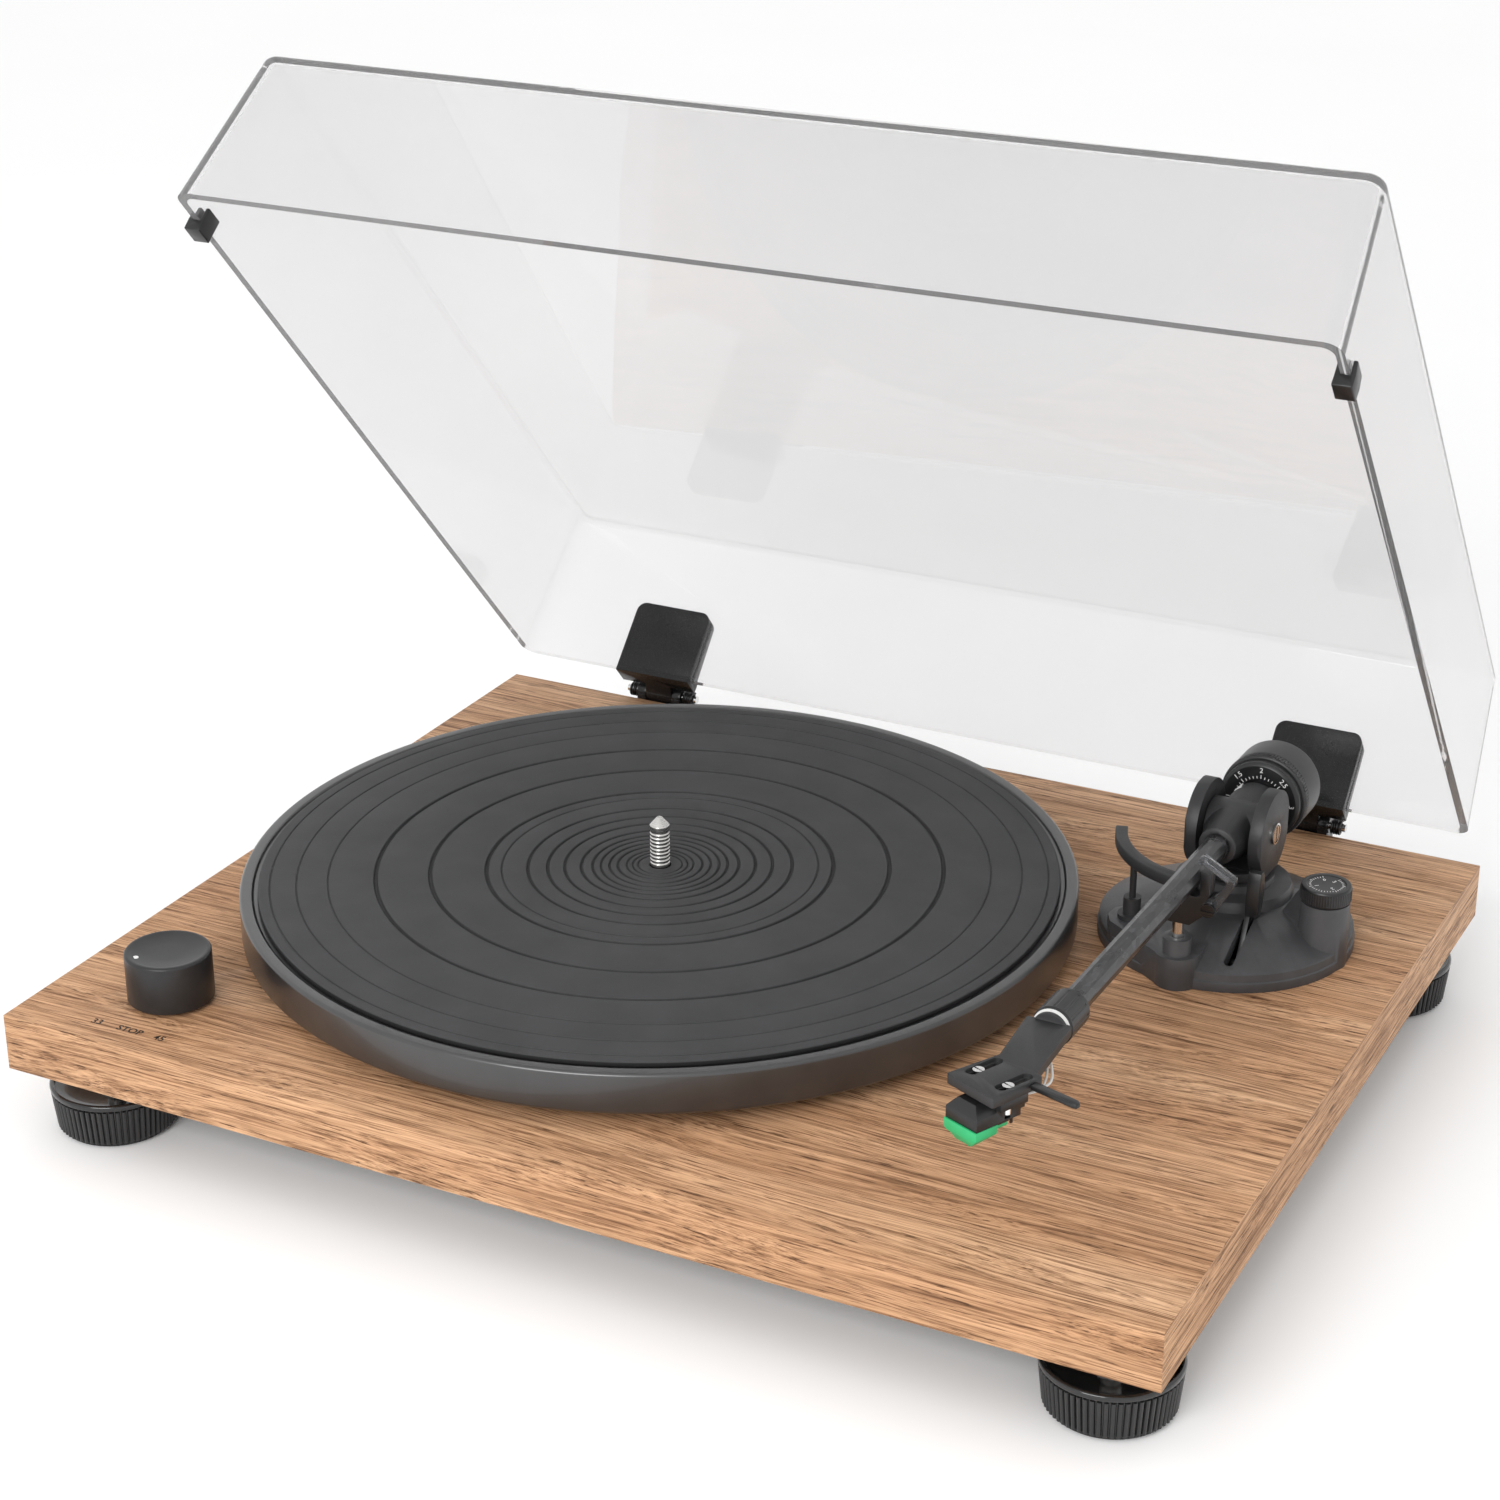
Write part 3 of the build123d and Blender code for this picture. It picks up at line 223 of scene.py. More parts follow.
def walnut_veneer():
    """Straight-grained walnut foil: long fibres, short dark pores, slow bands of tone.

    The grain runs along X on the top and the front, and along Y on the two ends."""
    f = Finish("walnut_veneer")
    facing = f.put("ShaderNodeSeparateXYZ")
    f.join(f.put("ShaderNodeNewGeometry").outputs["Normal"], facing.inputs[0])
    on_end = f.sum(f.sum(facing.outputs["X"], 0.0, "ABSOLUTE"), 0.7, "GREATER_THAN")
    place = f.put("ShaderNodeSeparateXYZ")
    f.join(f.where, place.inputs[0])
    swapped = f.put("ShaderNodeCombineXYZ")
    f.join(place.outputs["Y"], swapped.inputs["X"])
    f.join(place.outputs["X"], swapped.inputs["Y"])
    f.join(place.outputs["Z"], swapped.inputs["Z"])
    choose = f.put("ShaderNodeMix", data_type="VECTOR")
    f.join(on_end, choose.inputs[0])
    f.join(f.where, choose.inputs[4])
    f.join(swapped.outputs["Vector"], choose.inputs[5])
    along = choose.outputs[1]

    sway = f.noise(f.stretched((0.004, 0.03, 0.03), along), 1.0, 2.0, 0.5)
    sway_step = f.put("ShaderNodeCombineXYZ")
    f.join(f.grade(sway, -0.006, 0.006), sway_step.inputs["Y"])
    f.join(f.grade(sway, -0.004, 0.004), sway_step.inputs["Z"])
    wavy = f.put("ShaderNodeVectorMath", operation="ADD")
    f.join(along, wavy.inputs[0])
    f.join(sway_step.outputs["Vector"], wavy.inputs[1])
    grain = wavy.outputs["Vector"]

    bands = f.noise(f.stretched((0.0022, 0.055, 0.055), grain), 1.0, 3.0, 0.55)
    fibres = f.noise(f.stretched((0.013, 0.78, 0.78), grain), 1.0, 5.0, 0.68, 0.1)
    threads = f.noise(f.stretched((0.030, 2.2, 2.2), grain), 1.0, 3.0, 0.62)
    pores = f.noise(f.stretched((0.055, 1.25, 1.25), grain, centre=(3.1, 1.7, 0.4)), 1.0, 3.0, 0.7)

    ground = f.ramp(bands, [
        (0.30, (0.500, 0.275, 0.145)), (0.50, (0.590, 0.345, 0.192)), (0.70, (0.680, 0.425, 0.252))])
    streaked = f.ramp(fibres, [
        (0.34, (0.30, 0.24, 0.20)), (0.45, (0.72, 0.68, 0.64)), (0.54, (1.0, 1.0, 1.0)),
        (0.68, (1.16, 1.17, 1.18))])
    threaded = f.ramp(threads, [
        (0.36, (0.50, 0.45, 0.41)), (0.48, (0.92, 0.91, 0.90)), (0.64, (1.10, 1.10, 1.10))])
    pored = f.ramp(pores, [(0.36, (0.22, 0.17, 0.14)), (0.42, (1.0, 1.0, 1.0))])
    wood = f.blend(0.90, ground, streaked, "MULTIPLY")
    wood = f.blend(0.92, wood, threaded, "MULTIPLY")
    wood = f.blend(0.85, wood, pored, "MULTIPLY")

    height = f.sum(f.sum(fibres, 0.6, "MULTIPLY"), f.sum(pores, 0.8, "MULTIPLY"))
    f.set(colour=wood, rough=f.grade(fibres, 0.66, 0.54), normal=f.relief(height, 0.28, 0.12), shine=0.25)
    return f.material


def clear_acrylic():
    f = Finish("clear_acrylic")
    haze = f.noise(f.stretched((1, 1, 1)), 0.012, 3.0, 0.6)
    tone = f.ramp(haze, [(0.3, (0.900, 0.897, 0.901)), (0.7, (0.915, 0.912, 0.916))])
    f.set(colour=tone, rough=0.015, clear=0.91, bends=1.34, shine=0.4)
    return f.material


def smoky_clear():
    f = Finish("smoky_clear_plastic")
    haze = f.noise(f.stretched((1, 1, 1)), 0.2, 3.0, 0.6)
    tone = f.ramp(haze, [(0.3, (0.13, 0.135, 0.145)), (0.7, (0.20, 0.205, 0.215))])
    f.set(colour=tone, rough=0.10, clear=0.8, bends=1.45)
    return f.material


def carbon_tube():
    """Moulded carbon skin: short bundles of fibre lying over each other at a slant."""
    f = Finish("carbon_fibre")
    left = f.stretched((0.9, 0.30, 0.9), spin=(20, 10, 28))
    right = f.stretched((0.9, 0.30, 0.9), spin=(-15, 12, -33))
    flakes = []
    for at in (left, right):
        cell = f.put("ShaderNodeTexVoronoi", feature="F1")
        cell.inputs["Scale"].default_value = 0.62
        f.join(at, cell.inputs["Vector"])
        split = f.put("ShaderNodeSeparateColor")
        f.join(cell.outputs["Color"], split.inputs["Color"])
        flakes.append(split.outputs["Red"])
    fine = f.noise(f.stretched((5.0, 0.5, 5.0), spin=(0, 0, 28)), 1.0, 2.0, 0.5)
    both = f.sum(flakes[0], flakes[1], "MULTIPLY")
    tone = f.ramp(both, [
        (0.05, (0.012, 0.012, 0.013)), (0.35, (0.026, 0.026, 0.028)), (0.8, (0.062, 0.062, 0.066))])
    strands = f.ramp(fine, [(0.35, (0.5, 0.5, 0.5)), (0.65, (1.25, 1.25, 1.25))])
    tone = f.blend(0.35, tone, strands, "MULTIPLY")
    f.set(colour=tone, rough=f.grade(flakes[0], 0.26, 0.46, 0.0, 1.0), coat=0.25, coat_rough=0.2)
    f.set(normal=f.relief(fine, 0.05, 0.05))
    return f.material


def ink(name, colour):
    f = Finish(name)
    worn = f.noise(f.stretched((1, 1, 1)), 3.0, 3.0, 0.6)
    tone = f.ramp(worn, [(0.3, tinted(colour, 0.9)), (0.6, tinted(colour, 1.05))])
    f.set(colour=tone, rough=f.grade(worn, 0.5, 0.66), shine=0.3)
    return f.material


def coloured_by_place(name, axis, edges, colours, rough):
    """Moulded plastic whose colour changes from one part of a set to the next."""
    f = Finish(name)
    split = f.put("ShaderNodeSeparateXYZ")
    f.join(f.where, split.inputs[0])
    tone = None
    for colour, start in zip(colours, [None] + edges):
        if start is None:
            cloud = f.noise(f.stretched((1, 1, 1)), 0.8, 2.0, 0.5)
            tone = f.ramp(cloud, [(0.3, tinted(colour, 0.9)), (0.7, tinted(colour, 1.1))])
        else:
            past = f.sum(split.outputs[axis], start * MM, "GREATER_THAN")
            tone = f.blend(past, tone, colour)
    pebbled = f.noise(f.stretched((1, 1, 1)), 2.5, 2.0, 0.5)
    f.set(colour=tone, rough=f.grade(pebbled, rough - 0.04, rough + 0.05))
    f.set(normal=f.relief(pebbled, 0.04, 0.04))
    return f.material


WALNUT = walnut_veneer()
ACRYLIC = clear_acrylic()
SMOKED = smoky_clear()
CARBON = carbon_tube()
SATIN_BLACK = moulded("satin_black_paint", (0.0150, 0.0148, 0.0155), 0.34, 3.2, 0.03, coat=0.3, shine=0.9)
KNOB_BLACK = moulded("black_anodised", (0.0200, 0.0199, 0.0208), 0.34, 3.5, 0.03, shine=0.4)
MATTE_BLACK = moulded("matte_black_moulding", (0.0200, 0.0200, 0.0212), 0.47, 2.4, 0.07)
BASE_BLACK = moulded("arm_base_moulding", (0.0480, 0.0480, 0.0505), 0.42, 2.2, 0.07)
DEEP_BLACK = moulded("deep_black_moulding", (0.0100, 0.0100, 0.0106), 0.33, 2.6, 0.04)
LEAF_BLACK = moulded("hinge_moulding", (0.0062, 0.0062, 0.0066), 0.24, 2.0, 0.03, shine=0.4)
FOOT_BLACK = moulded("foot_moulding", (0.019, 0.019, 0.0197), 0.32, 2.4, 0.05)
FOOT_RING = moulded("foot_ring_black", (0.008, 0.008, 0.0085), 0.14, 1.8, 0.02, coat=0.4)
WEIGHT_BLACK = moulded("weight_paint", (0.020, 0.020, 0.021), 0.36, 3.0, 0.04)
# the mat's material paints shade into its grooves, below 70 mm up, which is the height of the mat's top
MAT_RUBBER_GROOVE_SHADE = rubber("mat_rubber_groove_shade", (0.038, 0.038, 0.0397), 0.62, 3.2, 0.14, shine=0.45, top=70.0)
SOFT_RUBBER = rubber("soft_rubber", (0.018, 0.018, 0.018), 0.72, 4.0, 0.12)
BELT_RUBBER = rubber("belt_rubber", (0.015, 0.015, 0.015), 0.6, 5.0, 0.08)
STEEL = turned_metal("turned_steel", (0.64, 0.63, 0.61), 0.22)
CHROME = turned_metal("bright_plate", (0.80, 0.80, 0.79), 0.10, lines=4.0, relief=0.03)
NICKEL = turned_metal("nickel_plate", (0.70, 0.69, 0.66), 0.20, "Y", 5.0, 0.05)
ZINC = turned_metal("zinc_plate", (0.52, 0.53, 0.52), 0.34, lines=3.0)
BRONZE = turned_metal("bronze_bush", (0.55, 0.36, 0.17), 0.34, lines=6.0)
GOLD = turned_metal("gold_plate", (0.80, 0.60, 0.26), 0.16, "Y", 5.0, 0.04)
DARK_STEEL = turned_metal("blackened_steel", (0.06, 0.06, 0.062), 0.32, "Y", 6.0, 0.06)
BLACK_SCREW = turned_metal("black_screw", (0.05, 0.05, 0.052), 0.3, lines=5.0, relief=0.04)
WHITE_INK = ink("white_ink", (0.80, 0.80, 0.79))
DARK_INK = ink("dark_ink", (0.022, 0.016, 0.012))
WHITE_SEAL = rubber("white_seal", (0.78, 0.78, 0.76), 0.55, 4.0, 0.05)
STYLUS_GREEN = moulded("green_moulding", (0.022, 0.415, 0.150), 0.42, 2.6, 0.03, spread=0.12)
LEAD_WHITE = rubber("lead_insulation", (0.70, 0.69, 0.66), 0.45, 5.0, 0.05)
NYLON = moulded("nylon", (0.05, 0.05, 0.05), 0.45, 2.4, 0.05)
CIRCUIT = moulded("circuit_board", (0.02, 0.12, 0.05), 0.4, 1.8, 0.05)
BOARD_PARTS = coloured_by_place("board_components", "Y", [92.0],
                                [(0.02, 0.02, 0.022), (0.10, 0.10, 0.11)], 0.4)
INSERTS = coloured_by_place("jack_inserts", "X", [45.0, 67.0],
                            [(0.012, 0.012, 0.012), (0.42, 0.02, 0.02), (0.75, 0.75, 0.73)], 0.38)


# ---- making pieces -----------------------------------------------------------------------------
def link(name, mesh, finish):
    thing = bpy.data.objects.new(name, mesh)
    bpy.context.scene.collection.objects.link(thing)
    mesh.materials.clear()
    for one in finish if isinstance(finish, (list, tuple)) else [finish]:
        mesh.materials.append(one)
    return thing


def shade(mesh, angle=35.0):
    mesh.shade_smooth()
    mesh.set_sharp_from_angle(angle=math.radians(angle))


def settle(thing, body, replaced=()):
    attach(thing, body)
    if replaced:
        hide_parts(*([replaced] if isinstance(replaced, str) else replaced))
    return thing


def baked(thing, name, finish):
    """The object with its modifiers worked in, as a plain mesh on a new object."""
    bpy.context.view_layer.update()
    ready = thing.evaluated_get(bpy.context.evaluated_depsgraph_get())
    mesh = bpy.data.meshes.new_from_object(ready)
    mesh.name = name
    old = thing.data
    bpy.data.objects.remove(thing)
    if old is not None and old.users == 0 and isinstance(old, bpy.types.Mesh):
        bpy.data.meshes.remove(old)
    return link(name, mesh, finish)


def eased(outline, radius, steps=3):
    """A turned outline with its corners rounded over."""
    if radius <= 0:
        return list(outline)
    result = []
    count = len(outline)
    for i, here in enumerate(outline):
        before, after = outline[i - 1], outline[(i + 1) % count]
        p, a, b = Vector(here), Vector(before), Vector(after)
        la, lb = (a - p).length, (b - p).length
        if here[0] < 1e-6 or la < 1e-6 or lb < 1e-6:
            result.append(here)
            continue
        bend = (p - a).angle(b - p)
        if bend < math.radians(12):
            result.append(here)
            continue
        cut = min(radius, 0.42 * la, 0.42 * lb)
        start, end = p + (a - p) * (cut / la), p + (b - p) * (cut / lb)
        for k in range(steps + 1):
            t = k / steps
            q = start * (1 - t) ** 2 + p * (2 * t * (1 - t)) + end * t * t
            result.append((q.x, q.y))
    return result


def turned(name, outline, finish, place, steps=96, ease=0.25, axis="Z", smooth=35.0):
    """A solid turned round an axis from its closed (radius, height) outline."""
    points = eased(outline, ease)
    shape = bmesh.new()
    rings = []
    for r, z in points:
        if r < 1e-6:
            rings.append([shape.verts.new((0, 0, z))])
        else:
            angles = [2 * math.pi * i / steps for i in range(steps)]
            rings.append([shape.verts.new((r * math.cos(a), r * math.sin(a), z)) for a in angles])
    for k, ring in enumerate(rings):
        other = rings[(k + 1) % len(rings)]
        for i in range(steps):
            j = (i + 1) % steps
            if len(ring) == 1 and len(other) == 1:
                break
            if len(ring) == 1:
                shape.faces.new((ring[0], other[i], other[j]))
            elif len(other) == 1:
                shape.faces.new((ring[i], other[0], ring[j]))
            else:
                shape.faces.new((ring[i], other[i], other[j], ring[j]))
    bmesh.ops.remove_doubles(shape, verts=shape.verts, dist=1e-5)
    bmesh.ops.recalc_face_normals(shape, faces=shape.faces)
    mesh = bpy.data.meshes.new(name)
    shape.to_mesh(mesh)
    shape.free()
    lay = {"Z": Matrix.Identity(4), "Y": turn(-90, "X"), "X": turn(90, "Y")}[axis]
    mesh.transform(place @ lay)
    shade(mesh, smooth)
    return link(name, mesh, finish)


def from_node(name, node, finish, ease=0.25, steps=2, smooth=35.0, clamp=True):
    """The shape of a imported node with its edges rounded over."""
    mesh = nodes[node].data.copy()
    mesh.name = name
    shape = bmesh.new()
    shape.from_mesh(mesh)
    bmesh.ops.remove_doubles(shape, verts=shape.verts, dist=2e-6)
    bmesh.ops.dissolve_limit(shape, angle_limit=math.radians(0.6), verts=shape.verts, edges=shape.edges)
    shape.to_mesh(mesh)
    shape.free()
    thing = link(name, mesh, finish)
    if ease > 0:
        rounding = thing.modifiers.new("rounding", "BEVEL")
        rounding.width = ease * MM
        rounding.segments = steps
        rounding.limit_method = "ANGLE"
        rounding.angle_limit = math.radians(38)
        rounding.use_clamp_overlap = clamp
        rounding.harden_normals = False
        thing = baked(thing, name, finish)
    shade(thing.data, smooth)
    return thing


def lettering(name, text, size, finish, place, proud=0.05, bold=0.0):
    """Printed characters as a thin raised mesh, centred on the place given."""
    curve = bpy.data.curves.new(name, "FONT")
    curve.body = text
    curve.size = size
    curve.align_x = "CENTER"
    curve.align_y = "CENTER"
    curve.extrude = proud / 2
    curve.offset = bold
    curve.resolution_u = 3
    sign = bpy.data.objects.new(name, curve)
    bpy.context.scene.collection.objects.link(sign)
    bpy.context.view_layer.update()
    mesh = bpy.data.meshes.new_from_object(sign.evaluated_get(bpy.context.evaluated_depsgraph_get()))
    bpy.data.objects.remove(sign)
    shape = bmesh.new()
    shape.from_mesh(mesh)
    bmesh.ops.remove_doubles(shape, verts=shape.verts, dist=1e-4)
    bmesh.ops.recalc_face_normals(shape, faces=shape.faces)
    shape.to_mesh(mesh)
    shape.free()
    mesh.transform(place)
    return link(name, mesh, finish)


def joined(name, things):
    """Several new objects made one."""
    meshes = [t.data for t in things]
    shape = bmesh.new()
    for mesh in meshes:
        shape.from_mesh(mesh)
    mesh = bpy.data.meshes.new(name)
    shape.to_mesh(mesh)
    shape.free()
    finish = meshes[0].materials[0]
    for t in things:
        bpy.data.objects.remove(t)
    for one in meshes:
        bpy.data.meshes.remove(one)
    return link(name, mesh, finish)


# ---- repeated detail, as node trees with named sizes -------------------------------------------
class Tree:
    """A Geometry Nodes tree with named inputs, put together step by step."""

    def __init__(self, name, inputs):
        self.tree = bpy.data.node_groups.new(name, "GeometryNodeTree")
        self.tree.interface.new_socket("Shape", in_out="OUTPUT", socket_type="NodeSocketGeometry")
        self.names = {}
        for label, kind, value in inputs:
            socket = self.tree.interface.new_socket(label, in_out="INPUT", socket_type="NodeSocket" + kind)
            if value is not None:
                socket.default_value = value
            self.names[label] = socket.identifier
        finish = self.tree.interface.new_socket("Finish", in_out="INPUT", socket_type="NodeSocketMaterial")
        self.names["Finish"] = finish.identifier
        self.given = self.put("NodeGroupInput")

    def put(self, kind, **settings):
        node = self.tree.nodes.new(kind)
        for key, value in settings.items():
            setattr(node, key, value)
        return node

    def join(self, a, b):
        self.tree.links.new(a, b)

    def size(self, label):
        return self.given.outputs[label]

    def math(self, kind, *values):
        node = self.put("ShaderNodeMath", operation=kind)
        for socket, value in zip(node.inputs, values):
            if isinstance(value, (int, float)):
                socket.default_value = value
            else:
                self.join(value, socket)
        return node.outputs[0]

    def vector(self, x=0.0, y=0.0, z=0.0):
        node = self.put("ShaderNodeCombineXYZ")
        for socket, value in zip(node.inputs, (x, y, z)):
            if isinstance(value, (int, float)):
                socket.default_value = value
            else:
                self.join(value, socket)
        return node.outputs[0]

    def close(self, geometry):
        real = self.put("GeometryNodeRealizeInstances")
        self.join(geometry, real.inputs["Geometry"])
        painted = self.put("GeometryNodeSetMaterial")
        self.join(real.outputs["Geometry"], painted.inputs["Geometry"])
        self.join(self.size("Finish"), painted.inputs["Material"])
        out = self.put("NodeGroupOutput")
        self.join(painted.outputs["Geometry"], out.inputs["Shape"])
        return self

    def make(self, name, finish, place, smooth=40.0, **sizes):
        """A plain mesh of what the tree makes with these sizes."""
        host = bpy.data.objects.new(name, bpy.data.meshes.new(name))
        bpy.context.scene.collection.objects.link(host)
        step = host.modifiers.new("made", "NODES")
        step.node_group = self.tree
        step[self.names["Finish"]] = finish
        for label, value in sizes.items():
            step[self.names[label.replace("_", " ")]] = value
        thing = baked(host, name, finish)
        thing.data.transform(place)
        shade(thing.data, smooth)
        return thing


def bars_round_a_rim():
    """Bars standing round a circle, leaning in or out, each one the same small rounded or flat bar."""
    t = Tree("bars_round_a_rim", [
        ("Count", "Int", 12), ("Radius", "Float", 10.0), ("First angle", "Float", 0.0), ("Step angle", "Float", 30.0),
        ("Deep", "Float", 1.0), ("Wide", "Float", 1.0), ("Tall", "Float", 5.0), ("Lean", "Float", 0.0),
        ("Sides", "Int", 8), ("Every", "Int", 1), ("Main deep", "Float", 1.0)])
    points = t.put("GeometryNodePoints")
    t.join(t.size("Count"), points.inputs["Count"])
    index = t.put("GeometryNodeInputIndex").outputs[0]
    swing = t.math("RADIANS", t.math("ADD", t.size("First angle"), t.math("MULTIPLY", index, t.size("Step angle"))))
    main = t.math("COMPARE", t.math("MODULO", index, t.size("Every")), 0.0, 0.1)
    extra = t.math("SUBTRACT", t.size("Main deep"), 1.0)
    stretch = t.math("ADD", 1.0, t.math("MULTIPLY", main, extra))
    reach = t.math("ADD", t.size("Radius"), t.math("MULTIPLY", t.math("SUBTRACT", stretch, 1.0),
                                                   t.math("MULTIPLY", t.size("Deep"), 0.5)))
    spot = t.vector(t.math("MULTIPLY", t.math("COSINE", swing), reach), t.math("MULTIPLY", t.math("SINE", swing), reach))
    t.join(spot, points.inputs["Position"])
    bar = t.put("GeometryNodeMeshCylinder")
    t.join(t.size("Sides"), bar.inputs["Vertices"])
    bar.inputs["Radius"].default_value = 0.5
    bar.inputs["Depth"].default_value = 1.0
    cut = t.put("GeometryNodeTransform")
    t.join(bar.outputs["Mesh"], cut.inputs["Geometry"])
    cut.inputs["Rotation"].default_value = (0, 0, math.radians(45))
    shaped = t.put("GeometryNodeTransform")
    t.join(cut.outputs["Geometry"], shaped.inputs["Geometry"])
    t.join(t.vector(t.size("Deep"), t.size("Wide"), t.size("Tall")), shaped.inputs["Scale"])
    spread = t.put("GeometryNodeInstanceOnPoints")
    t.join(points.outputs[0], spread.inputs["Points"])
    t.join(shaped.outputs["Geometry"], spread.inputs["Instance"])
    facing = t.put("FunctionNodeEulerToRotation")
    t.join(t.vector(0.0, t.math("RADIANS", t.size("Lean")), swing), facing.inputs[0])
    t.join(facing.outputs[0], spread.inputs["Rotation"])
    t.join(t.vector(stretch, 1.0, 1.0), spread.inputs["Scale"])
    return t.close(spread.outputs["Instances"])


def wound_spring():
    """Round wire wound in a close helix along Z."""
    t = Tree("wound_spring", [
        ("Turns", "Float", 4.0), ("Radius", "Float", 2.6), ("Wire", "Float", 0.5), ("Length", "Float", 4.4),
        ("Steps", "Int", 28), ("Round", "Int", 8)])
    line = t.put("GeometryNodeCurveSpiral")
    t.join(t.size("Steps"), line.inputs["Resolution"])
    t.join(t.size("Turns"), line.inputs["Rotations"])
    t.join(t.size("Radius"), line.inputs["Start Radius"])
    t.join(t.size("Radius"), line.inputs["End Radius"])
    t.join(t.size("Length"), line.inputs["Height"])
    ring = t.put("GeometryNodeCurvePrimitiveCircle")
    t.join(t.size("Round"), ring.inputs["Resolution"])
    t.join(t.size("Wire"), ring.inputs["Radius"])
    wire = t.put("GeometryNodeCurveToMesh")
    t.join(line.outputs["Curve"], wire.inputs["Curve"])
    t.join(ring.outputs["Curve"], wire.inputs["Profile Curve"])
    wire.inputs["Fill Caps"].default_value = True
    return t.close(wire.outputs["Mesh"])


def slotted_heads():
    """Pan screw heads set in a row or a rectangle, each one a low dome with a cross cut in its top."""
    t = Tree("screw_heads", [
        ("Columns", "Int", 2), ("Rows", "Int", 1), ("Across", "Float", 20.0), ("Down", "Float", 10.0),
        ("Radius", "Float", 2.4), ("Height", "Float", 1.3), ("Sides", "Int", 28)])
    grid = t.put("GeometryNodeMeshGrid")
    t.join(t.size("Across"), grid.inputs["Size X"])
    t.join(t.size("Down"), grid.inputs["Size Y"])
    t.join(t.size("Columns"), grid.inputs["Vertices X"])
    t.join(t.size("Rows"), grid.inputs["Vertices Y"])
    dome = t.put("GeometryNodeMeshUVSphere")
    t.join(t.size("Sides"), dome.inputs["Segments"])
    dome.inputs["Rings"].default_value = 12
    t.join(t.size("Radius"), dome.inputs["Radius"])
    flat = t.put("GeometryNodeTransform")
    t.join(dome.outputs["Mesh"], flat.inputs["Geometry"])
    low = t.math("DIVIDE", t.size("Height"), t.size("Radius"))
    t.join(t.vector(1.0, 1.0, low), flat.inputs["Scale"])
    slot = t.put("GeometryNodeMeshCube")
    t.join(t.vector(t.math("MULTIPLY", t.size("Radius"), 1.3), 0.7, t.size("Height")), slot.inputs["Size"])
    lifted = t.put("GeometryNodeTransform")
    t.join(slot.outputs["Mesh"], lifted.inputs["Geometry"])
    t.join(t.vector(0.0, 0.0, t.size("Height")), lifted.inputs["Translation"])
    crossed = t.put("GeometryNodeTransform")
    t.join(lifted.outputs["Geometry"], crossed.inputs["Geometry"])
    crossed.inputs["Rotation"].default_value = (0, 0, math.radians(90))
    cutters = t.put("GeometryNodeJoinGeometry")
    t.join(lifted.outputs["Geometry"], cutters.inputs[0])
    t.join(crossed.outputs["Geometry"], cutters.inputs[0])
    cut = t.put("GeometryNodeMeshBoolean", operation="DIFFERENCE")
    t.join(flat.outputs["Geometry"], cut.inputs["Mesh 1"])
    t.join(cutters.outputs[0], cut.inputs["Mesh 2"])
    spread = t.put("GeometryNodeInstanceOnPoints")
    t.join(grid.outputs["Mesh"], spread.inputs["Points"])
    t.join(cut.outputs["Mesh"], spread.inputs["Instance"])
    return t.close(spread.outputs["Instances"])


BARS = bars_round_a_rim()
SPRING = wound_spring()
HEADS = slotted_heads()


# ---- plinth ------------------------------------------------------------------------------------
settle(from_node("plinth_veneered", "plinth", WALNUT, 0.35), "chassis", "plinth")
for word, x in (("33", -178.4), ("STOP", -164.7), ("45", -152.4)):
    mark = lettering("speed_mark_" + word.lower(), word, 4.3, DARK_INK, DECK @ shift(x, -159.2, 0.02), 0.04, 0.06)
    settle(mark, "chassis")

# ---- platter, mat, record pin ------------------------------------------------------------------
platter = turned("platter_turned", [
    (11.0, 8), (22, 8), (24, 16.5), (93, 16.5), (94, 7), (98, 7), (98, 16.5), (142.5, 16.5), (143.5, 6.0), (148.8, 6.0),
    (150, 7.2), (150, 20.4), (149.2, 21.2), (145.7, 21.2), (145.0, 20.0), (11.0, 20.0)],
    SATIN_BLACK, PLATTER, steps=240, ease=0.5)
for side in (45, 225):
    x, y = 121 * math.cos(math.radians(side)), 121 * math.sin(math.radians(side))
    cutter = turned("cutter", [(0, 10), (17, 10), (17, 30), (0, 30)], SATIN_BLACK, PLATTER @ shift(x, y), 48, 0)
    hole = platter.modifiers.new("hole", "BOOLEAN")
    hole.operation = "DIFFERENCE"
    hole.object = cutter
    hole.solver = "EXACT"
    platter = baked(platter, "platter_turned", SATIN_BLACK)
    bpy.data.objects.remove(cutter)
shade(platter.data)
settle(platter, "platter_group", "platter")

# Each groove: radius, half width, depth.
MAT_GROOVES = [
    (139.2, 0.45, 0.35), (129.8, 0.45, 0.35), (118.7, 0.45, 0.35), (101.8, 0.9, 0.8), (82.4, 0.9, 0.8),
    (62.3, 0.9, 0.8), (56.9, 0.5, 0.4), (47.5, 0.75, 0.7), (40.4, 0.75, 0.7), (34.3, 0.7, 0.7),
    (28.3, 0.7, 0.7), (24.3, 0.65, 0.65), (21.3, 0.6, 0.6), (18.2, 0.6, 0.6), (15.2, 0.6, 0.6),
    (12.0, 0.5, 0.5), (9.9, 0.45, 0.5), (7.9, 0.4, 0.45)]
MAT_TOP = 22.0
outline = [(3.9, 20.02), (143.3, 20.02), (143.5, 20.4), (143.4, 21.7), (143.0, MAT_TOP)]
for r, half, deep in MAT_GROOVES:
    floor = MAT_TOP - deep
    outline += [(r + half, MAT_TOP), (r + 0.45 * half, floor), (r - 0.45 * half, floor), (r - half, MAT_TOP)]
outline += [(3.9, MAT_TOP)]
settle(turned("mat_grooved", outline, MAT_RUBBER_GROOVE_SHADE, PLATTER, 240, 0.16), "platter_group", "mat")

